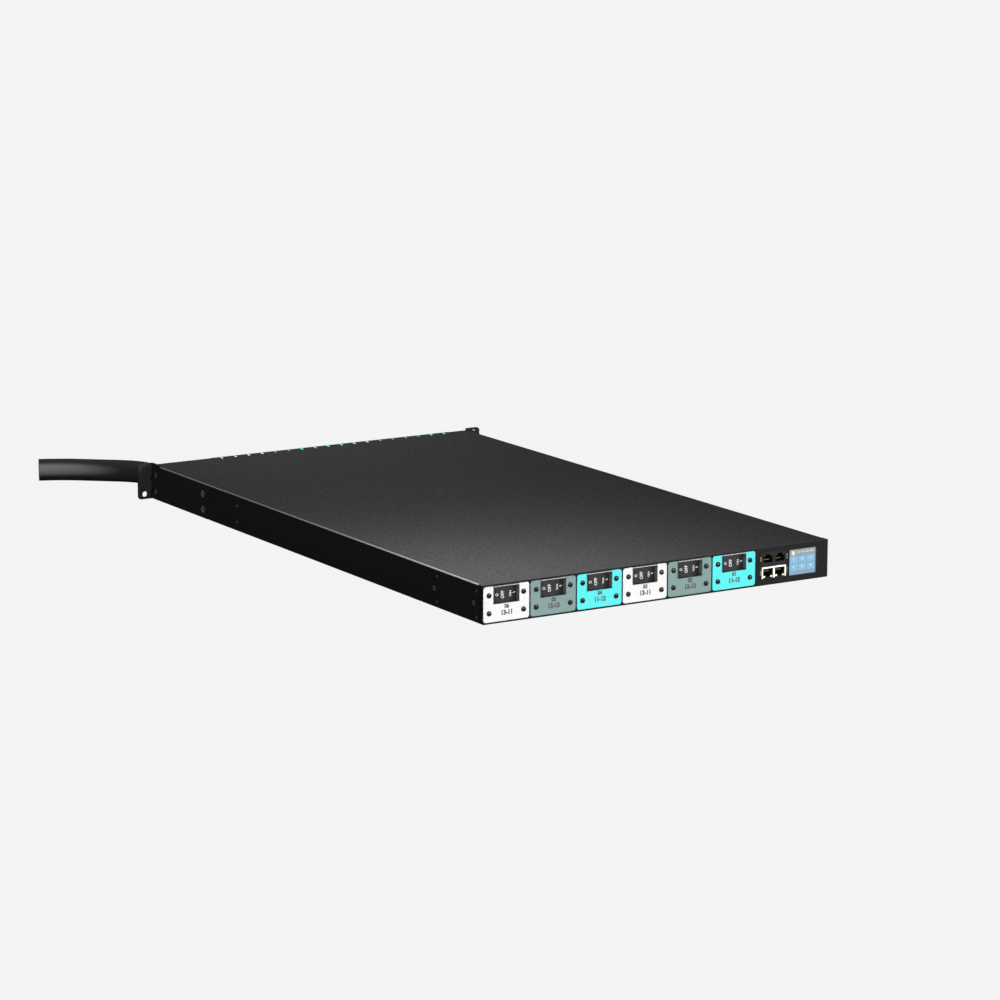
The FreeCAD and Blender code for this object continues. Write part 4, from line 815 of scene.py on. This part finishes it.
# %% Screws of the ear legs
LEG_ROWS = (249.0 * MM, 376.5 * MM)
LEG_LEVELS = (11.0 * MM, 29.8 * MM)
LEG_HEAD_RISE = 2.2 * MM
leg_screw = socket_screw(head_radius=4.25 * MM, head_rise=LEG_HEAD_RISE, socket_radius=1.5 * MM,
                         socket_depth=1.4 * MM)
leg_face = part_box("leg_screws")[1].x - LEG_HEAD_RISE
matrices = [
    Matrix.Translation((way * leg_face, y, z))
    @ Matrix.Rotation(math.radians(90 * way), 4, "Y")
    for way in (-1, 1) for y in LEG_ROWS for z in LEG_LEVELS
]
screw_row("leg_screw_heads", "leg_screws", leg_screw, matrices)

# %% [markdown]
# ## The picture on the display
#
# The display shows a grey header with a green dot, and two rows of three blue tiles. A grid
# of faces is the natural start: each face is inset to leave a gap, and the inset faces get
# the tile material. A header above and a strip below complete the sheet, and the dot lies
# just in front of it. The picture is right behind the lens, so the glass reflects before it.

# %% Layout of the picture
PICTURE_WIDTH = 35.0 * MM
PICTURE_TOP = 14.1 * MM
PICTURE_BOTTOM = -PICTURE_TOP
HEADER_HEIGHT = 7.2 * MM
FOOTER_HEIGHT = 3.8 * MM
TILE_GAP = 1.0 * MM
DOT_RADIUS = 2.4 * MM
DOT_INSET = (5.2 * MM, 3.8 * MM)
IN_FRONT = 0.02 * MM
BEHIND_LENS = 0.05 * MM
GROUND_SLOT, TILE_SLOT, HEADER_SLOT, DOT_SLOT = range(4)
tiles_low = PICTURE_BOTTOM + FOOTER_HEIGHT
tiles_high = PICTURE_TOP - HEADER_HEIGHT


def stretch(shape, verts, bottom, top):
    """Make a unit grid as wide as the picture, between two levels of it."""
    bmesh.ops.scale(shape, verts=verts, vec=(PICTURE_WIDTH, top - bottom, 1))
    bmesh.ops.translate(shape, verts=verts, vec=(0, (top + bottom) / 2, 0))


def paint(verts, kind):
    """Give a material slot to the faces around some vertices."""
    for face in {face for vert in verts for face in vert.link_faces}:
        face.material_index = kind


print("tiles from", round(tiles_low / MM, 1), "to", round(tiles_high / MM, 1), "mm")

# %% Display picture
lens_low, lens_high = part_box("display_lens")
centre = (lens_low + lens_high) / 2
upright = Matrix.Translation((centre.x, lens_high.y + BEHIND_LENS, centre.z)) @ toward_front
shape = bmesh.new()
bmesh.ops.create_grid(shape, x_segments=3, y_segments=2, size=0.5)
stretch(shape, shape.verts, tiles_low, tiles_high)
centres = [face.calc_center_median() for face in shape.faces]
tiles = list(shape.faces)
bmesh.ops.inset_individual(shape, faces=tiles, thickness=TILE_GAP)
for face in tiles:
    face.material_index = TILE_SLOT
for bottom, top, kind in ((PICTURE_BOTTOM, tiles_low, GROUND_SLOT),
                          (tiles_high, PICTURE_TOP, HEADER_SLOT)):
    band = bmesh.ops.create_grid(shape, x_segments=1, y_segments=1, size=0.5)["verts"]
    stretch(shape, band, bottom, top)
    paint(band, kind)
dot = bmesh.ops.create_circle(shape, cap_ends=True, segments=24, radius=DOT_RADIUS)["verts"]
dot_place = (DOT_INSET[0] - PICTURE_WIDTH / 2, PICTURE_TOP - DOT_INSET[1], IN_FRONT)
bmesh.ops.translate(shape, verts=dot, vec=dot_place)
paint(dot, DOT_SLOT)
bmesh.ops.transform(shape, matrix=upright, verts=shape.verts)
bmesh.ops.recalc_face_normals(shape, faces=shape.faces)
add_piece("display_picture", shape, [lit_ground, lit_tile, lit_header, lit_dot])

# %% [markdown]
# Each tile has its number near its middle, and the header has a line of four numbers. They
# are letters like the print, but lit, and thinner, because they belong to the picture.

# %% Numbers on the tiles
LIT_INK = 0.01 * MM
TILE_NUMBER, TILE_NUMBER_RISE = 2.4 * MM, 0.6 * MM
HEADER_NUMBER = 1.9 * MM
HEADER_PLACE = (3.8 * MM, PICTURE_TOP - 3.4 * MM, IN_FRONT)
shape = bmesh.new()
order = sorted(centres, key=lambda point: (-point.y, point.x))
for number, point in enumerate(order, 1):
    matrix = upright @ Matrix.Translation((point.x, point.y + TILE_NUMBER_RISE, IN_FRONT))
    add_word(shape, str(number), TILE_NUMBER, matrix, weight=0.045, thickness=LIT_INK)
add_word(shape, "12.0  16.0  20.0  24.0", HEADER_NUMBER, upright @ Matrix.Translation(HEADER_PLACE),
         weight=0.01, thickness=LIT_INK)
add_piece("display_numbers", shape, lit_mark)

# %% [markdown]
# ## Small figures beside the jacks
#
# The jacks have tiny upright figures at both ends of each pair. They are little more than a
# millimetre high, and read as a pale line from a step away, but without them the black
# panel looks unfinished. They stand clear of the shield, which would hide them.

# %% Jack numbers
JACK_NUMBER = 1.2 * MM
CLEAR_OF_SHIELD = 1.3 * MM
SENSOR_RISE = 1.5 * MM
sensor_low, sensor_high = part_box("sensor_jacks")
left = shield_low.x - CLEAR_OF_SHIELD
right = shield_high.x + CLEAR_OF_SHIELD
lower = (shield_low.z + shield_high.z) / 2
upper_level = (sensor_low.z + sensor_high.z) / 2 + SENSOR_RISE
shape = bmesh.new()
for word, x, z in (("1 2 3 4", left, lower), ("5 6 7 8", left, upper_level),
                   ("11 12 13", right, lower), ("14 15 16", right, upper_level)):
    matrix = facing((x, FRONT - INK / 2, z), (0, 0, 1), (-1, 0, 0))
    add_word(shape, word, JACK_NUMBER, matrix, weight=0.02)
add_piece("jack_numbers", shape, ink_white)

# %% [markdown]
# ## The cord
#
# A thick rubber cord leaves the rear through its strain relief, drops to the ground in a
# slow bend to the left, and ends in a clean cut. A cord this stiff has no kinks, so it is
# one smooth spline. Its control points are the corners of the CAD route, which the spline
# passes on the inside. The order is set after the points are in, because a new spline has
# too few points for it. The jacket has a fine grain, and painted shade darkens it toward
# its outline.

# %% Cord curve
CORD_RADIUS = 13.5 * MM
ROUTE = (
    (-0.197, 0.411, 0.0189),
    (-0.197, 0.4298, 0.0189),
    (-0.19944, 0.44844, 0.01855),
    (-0.20427, 0.46661, 0.0176),
    (-0.21141, 0.484, 0.0163),
    (-0.22075, 0.50032, 0.015),
    (-0.23212, 0.51529, 0.01405),
    (-0.24534, 0.52866, 0.0137),
    (-0.26017, 0.5402, 0.0137),
    (-0.27638, 0.54973, 0.0137),
    (-0.29369, 0.55708, 0.0137),
)
line = bpy.data.curves.new("power_cord_jacket", "CURVE")
line.dimensions = "3D"
line.bevel_depth = CORD_RADIUS
line.bevel_resolution = 9
line.resolution_u = 16
line.use_fill_caps = True
spline = line.splines.new("NURBS")
spline.points.add(len(ROUTE) - 1)
for point, place in zip(spline.points, ROUTE):
    point.co = (*place, 1)
spline.order_u = 3
spline.use_endpoint_u = True
cord = bpy.data.objects.new("power_cord_jacket", line)
scene.collection.objects.link(cord)
print("cord with", len(spline.points), "points")

# %% Cord jacket
# Painted shade toward the outline of the cord.
cord_rubber = grained("cord_rubber", (0.12, 0.12, 0.121), 0.5, speckle=0.25, tone=0.3,
                      scale=1400.0, bump=0.3, depth=0.08 * MM, rim=0.85, Specular_IOR_Level=0.0)
line.materials.append(cord_rubber)
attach(cord, "chassis")
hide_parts("power_cord")
print("cord rides on the chassis")

# %% [markdown]
# ## The studio
#
# The picture is taken from the left front, slightly above, through a long lens from about
# four metres, so its lines hardly converge. The camera is given by where it stands and
# which way it looks. A long lens at this distance needs no shift.

# %% Camera
CAMERA_PLACE = (-2.18339, -3.59612, 0.90528)
YAW = math.radians(31.667)
PITCH = math.radians(11.592)
ROLL = math.radians(0.1129)
FOCAL_LENGTH = 133.919
forward = Vector((math.sin(YAW) * math.cos(PITCH), math.cos(YAW) * math.cos(PITCH),
                  -math.sin(PITCH)))
right = forward.cross(Vector((0, 0, 1))).normalized()
upright_way = right.cross(forward)
turned_right = right * math.cos(ROLL) + upright_way * math.sin(ROLL)
turned_up = upright_way * math.cos(ROLL) - right * math.sin(ROLL)
lens = bpy.data.cameras.new("camera")
lens.sensor_fit = "HORIZONTAL"
lens.sensor_width = 36
lens.lens = FOCAL_LENGTH
lens.clip_end = 100
camera = bpy.data.objects.new("camera", lens)
rotation = Matrix((turned_right, turned_up, -forward)).transposed().to_4x4()
camera.matrix_world = Matrix.Translation(CAMERA_PLACE) @ rotation
scene.collection.objects.link(camera)
scene.camera = camera
print("camera looks along", [round(value, 3) for value in forward])

# %% [markdown]
# The ground is pale and even, so a large plane takes the place of a paper roll. Most of what
# the camera sees of it is an even glow, and a small part is ordinary paint, which keeps a
# soft shadow under the box. Glossy and clear surfaces see the same ground as the camera. The
# world is pale to the eye too, but it gives the object only a ninth of that light, or its
# dark faces would turn grey.


# %% Ground
def seen_directly(tree):
    """One where a ray comes from the camera, a reflection or through glass, else zero."""
    path = add_node(tree, "ShaderNodeLightPath").outputs
    first = add_math(tree, "MAXIMUM", path["Is Camera Ray"], path["Is Glossy Ray"])
    return add_math(tree, "MAXIMUM", first, path["Is Transmission Ray"])


GLOW = 0.974
GLOW_SHARE = 0.92
GROUND_HALF = 40
shape = bmesh.new()
bmesh.ops.create_grid(shape, x_segments=1, y_segments=1, size=GROUND_HALF)
mesh = bpy.data.meshes.new("ground")
shape.to_mesh(mesh)
shape.free()
ground = bpy.data.objects.new("ground", mesh)
scene.collection.objects.link(ground)
ground_paper, shader = new_finish("ground_paper", Roughness=0.9, Specular_IOR_Level=0.0,
                                  Base_Color=(0.35, 0.35, 0.35, 1))
tree = ground_paper.node_tree
glow = add_node(tree, "ShaderNodeEmission", Color=(GLOW, GLOW, GLOW, 1), Strength=1.0)
share = add_math(tree, "MULTIPLY", seen_directly(tree), GLOW_SHARE)
mixed = add_node(tree, "ShaderNodeMixShader", i0=share, i1=shader.outputs[0], i2=glow.outputs[0])
tree.links.new(mixed.outputs[0], tree.nodes["Material Output"].inputs["Surface"])
mesh.materials.append(ground_paper)
print("ground is", 2 * GROUND_HALF, "m wide")

# %% World
PAPER = 0.905
WORLD_LIGHT = 0.11
world = bpy.data.worlds.new("studio")
world.use_nodes = True
scene.world = world
tree = world.node_tree
backdrop = tree.nodes["Background"]
backdrop.inputs["Color"].default_value = (PAPER, PAPER, PAPER, 1)
level = add_node(tree, "ShaderNodeMapRange", Value=seen_directly(tree), i1=0.0, i2=1.0,
                 i3=WORLD_LIGHT, i4=1.0)
tree.links.new(level.outputs[0], backdrop.inputs["Strength"])
print("world gives", WORLD_LIGHT, "of its light")

# %% [markdown]
# Five lamps light the scene. The key is a low sun with a wide angle, from the right and in
# front, so the front is bright and the top is dim. A weak and very wide fill from the left
# keeps the left side from going black. The third is a small lamp above the left front corner.
# It gives the cover the soft glow that fades to the right and to the rear, and it also
# reaches the front frame and the left ear. The fourth draws the soft streak along the cord,
# which lies in the shadow of the box. The last hangs above the rear: it lifts the far end of
# the cover and lights the outlets. These three would also leave a patch on the paper beside
# the box, so they are linked to what they are meant for.


# %% Lamp helpers
def place_lamp(name, lamp, place, target=(0, 0, 0)):
    """A lamp at a place that looks at a target, and that the camera doesn't see."""
    holder = bpy.data.objects.new(name, lamp)
    way = Vector(target) - Vector(place)
    turn = way.to_track_quat("-Z", "Y").to_matrix().to_4x4()
    holder.matrix_world = Matrix.Translation(place) @ turn
    holder.visible_camera = False
    scene.collection.objects.link(holder)
    print(name, "at", place)
    return holder


def add_sun(name, energy, angle, place):
    """A sun that shines from the side of a place. A wide angle gives it soft shadows."""
    sun = bpy.data.lights.new(name, "SUN")
    sun.energy = energy
    sun.angle = math.radians(angle)
    place_lamp(name, sun, place)


def add_glow(name, size, energy, place, target, lit):
    """A square lamp that lights only some objects and doesn't show in reflections."""
    lamp = bpy.data.lights.new(name, "AREA")
    lamp.size = size
    lamp.energy = energy
    holder = place_lamp(name, lamp, place, target)
    holder.visible_glossy = False
    receivers = bpy.data.collections.new(f"lit_by_{name}")
    for item in lit:
        receivers.objects.link(item)
    holder.light_linking.receiver_collection = receivers
    print(name, "lights", len(lit), "objects")


# %% Five lamps
add_sun("key", energy=3.22, angle=18, place=(1.05, -2.4, 0.28))
add_sun("fill", energy=0.6, angle=40, place=(-2.0, -1.6, 0.6))
near_corner = [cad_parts[node] for node in ("top_cover", "front_frame", "rack_ear_left")]
add_glow("corner_glow", size=0.02, energy=5.7, place=(-0.211, -0.38, 0.416),
         target=(-0.211, -0.38, 0), lit=near_corner)
add_glow("cord_glow", size=0.3, energy=8.2, place=(-0.84, -0.41, 0.46),
         target=(-0.26, 0.53, 0.01), lit=[cord])
pieces = [item for item in scene.objects if item.type in ("MESH", "CURVE") and item != ground]
add_glow("rear_glow", size=0.3, energy=4.7, place=(0, 0.5, 0.64), target=(0, 0.5, 0), lit=pieces)

# %% [markdown]
# ## Colour view
#
# Colours stay as they were given, with the Standard view.

# %% Colour view
scene.view_settings.view_transform = "Standard"
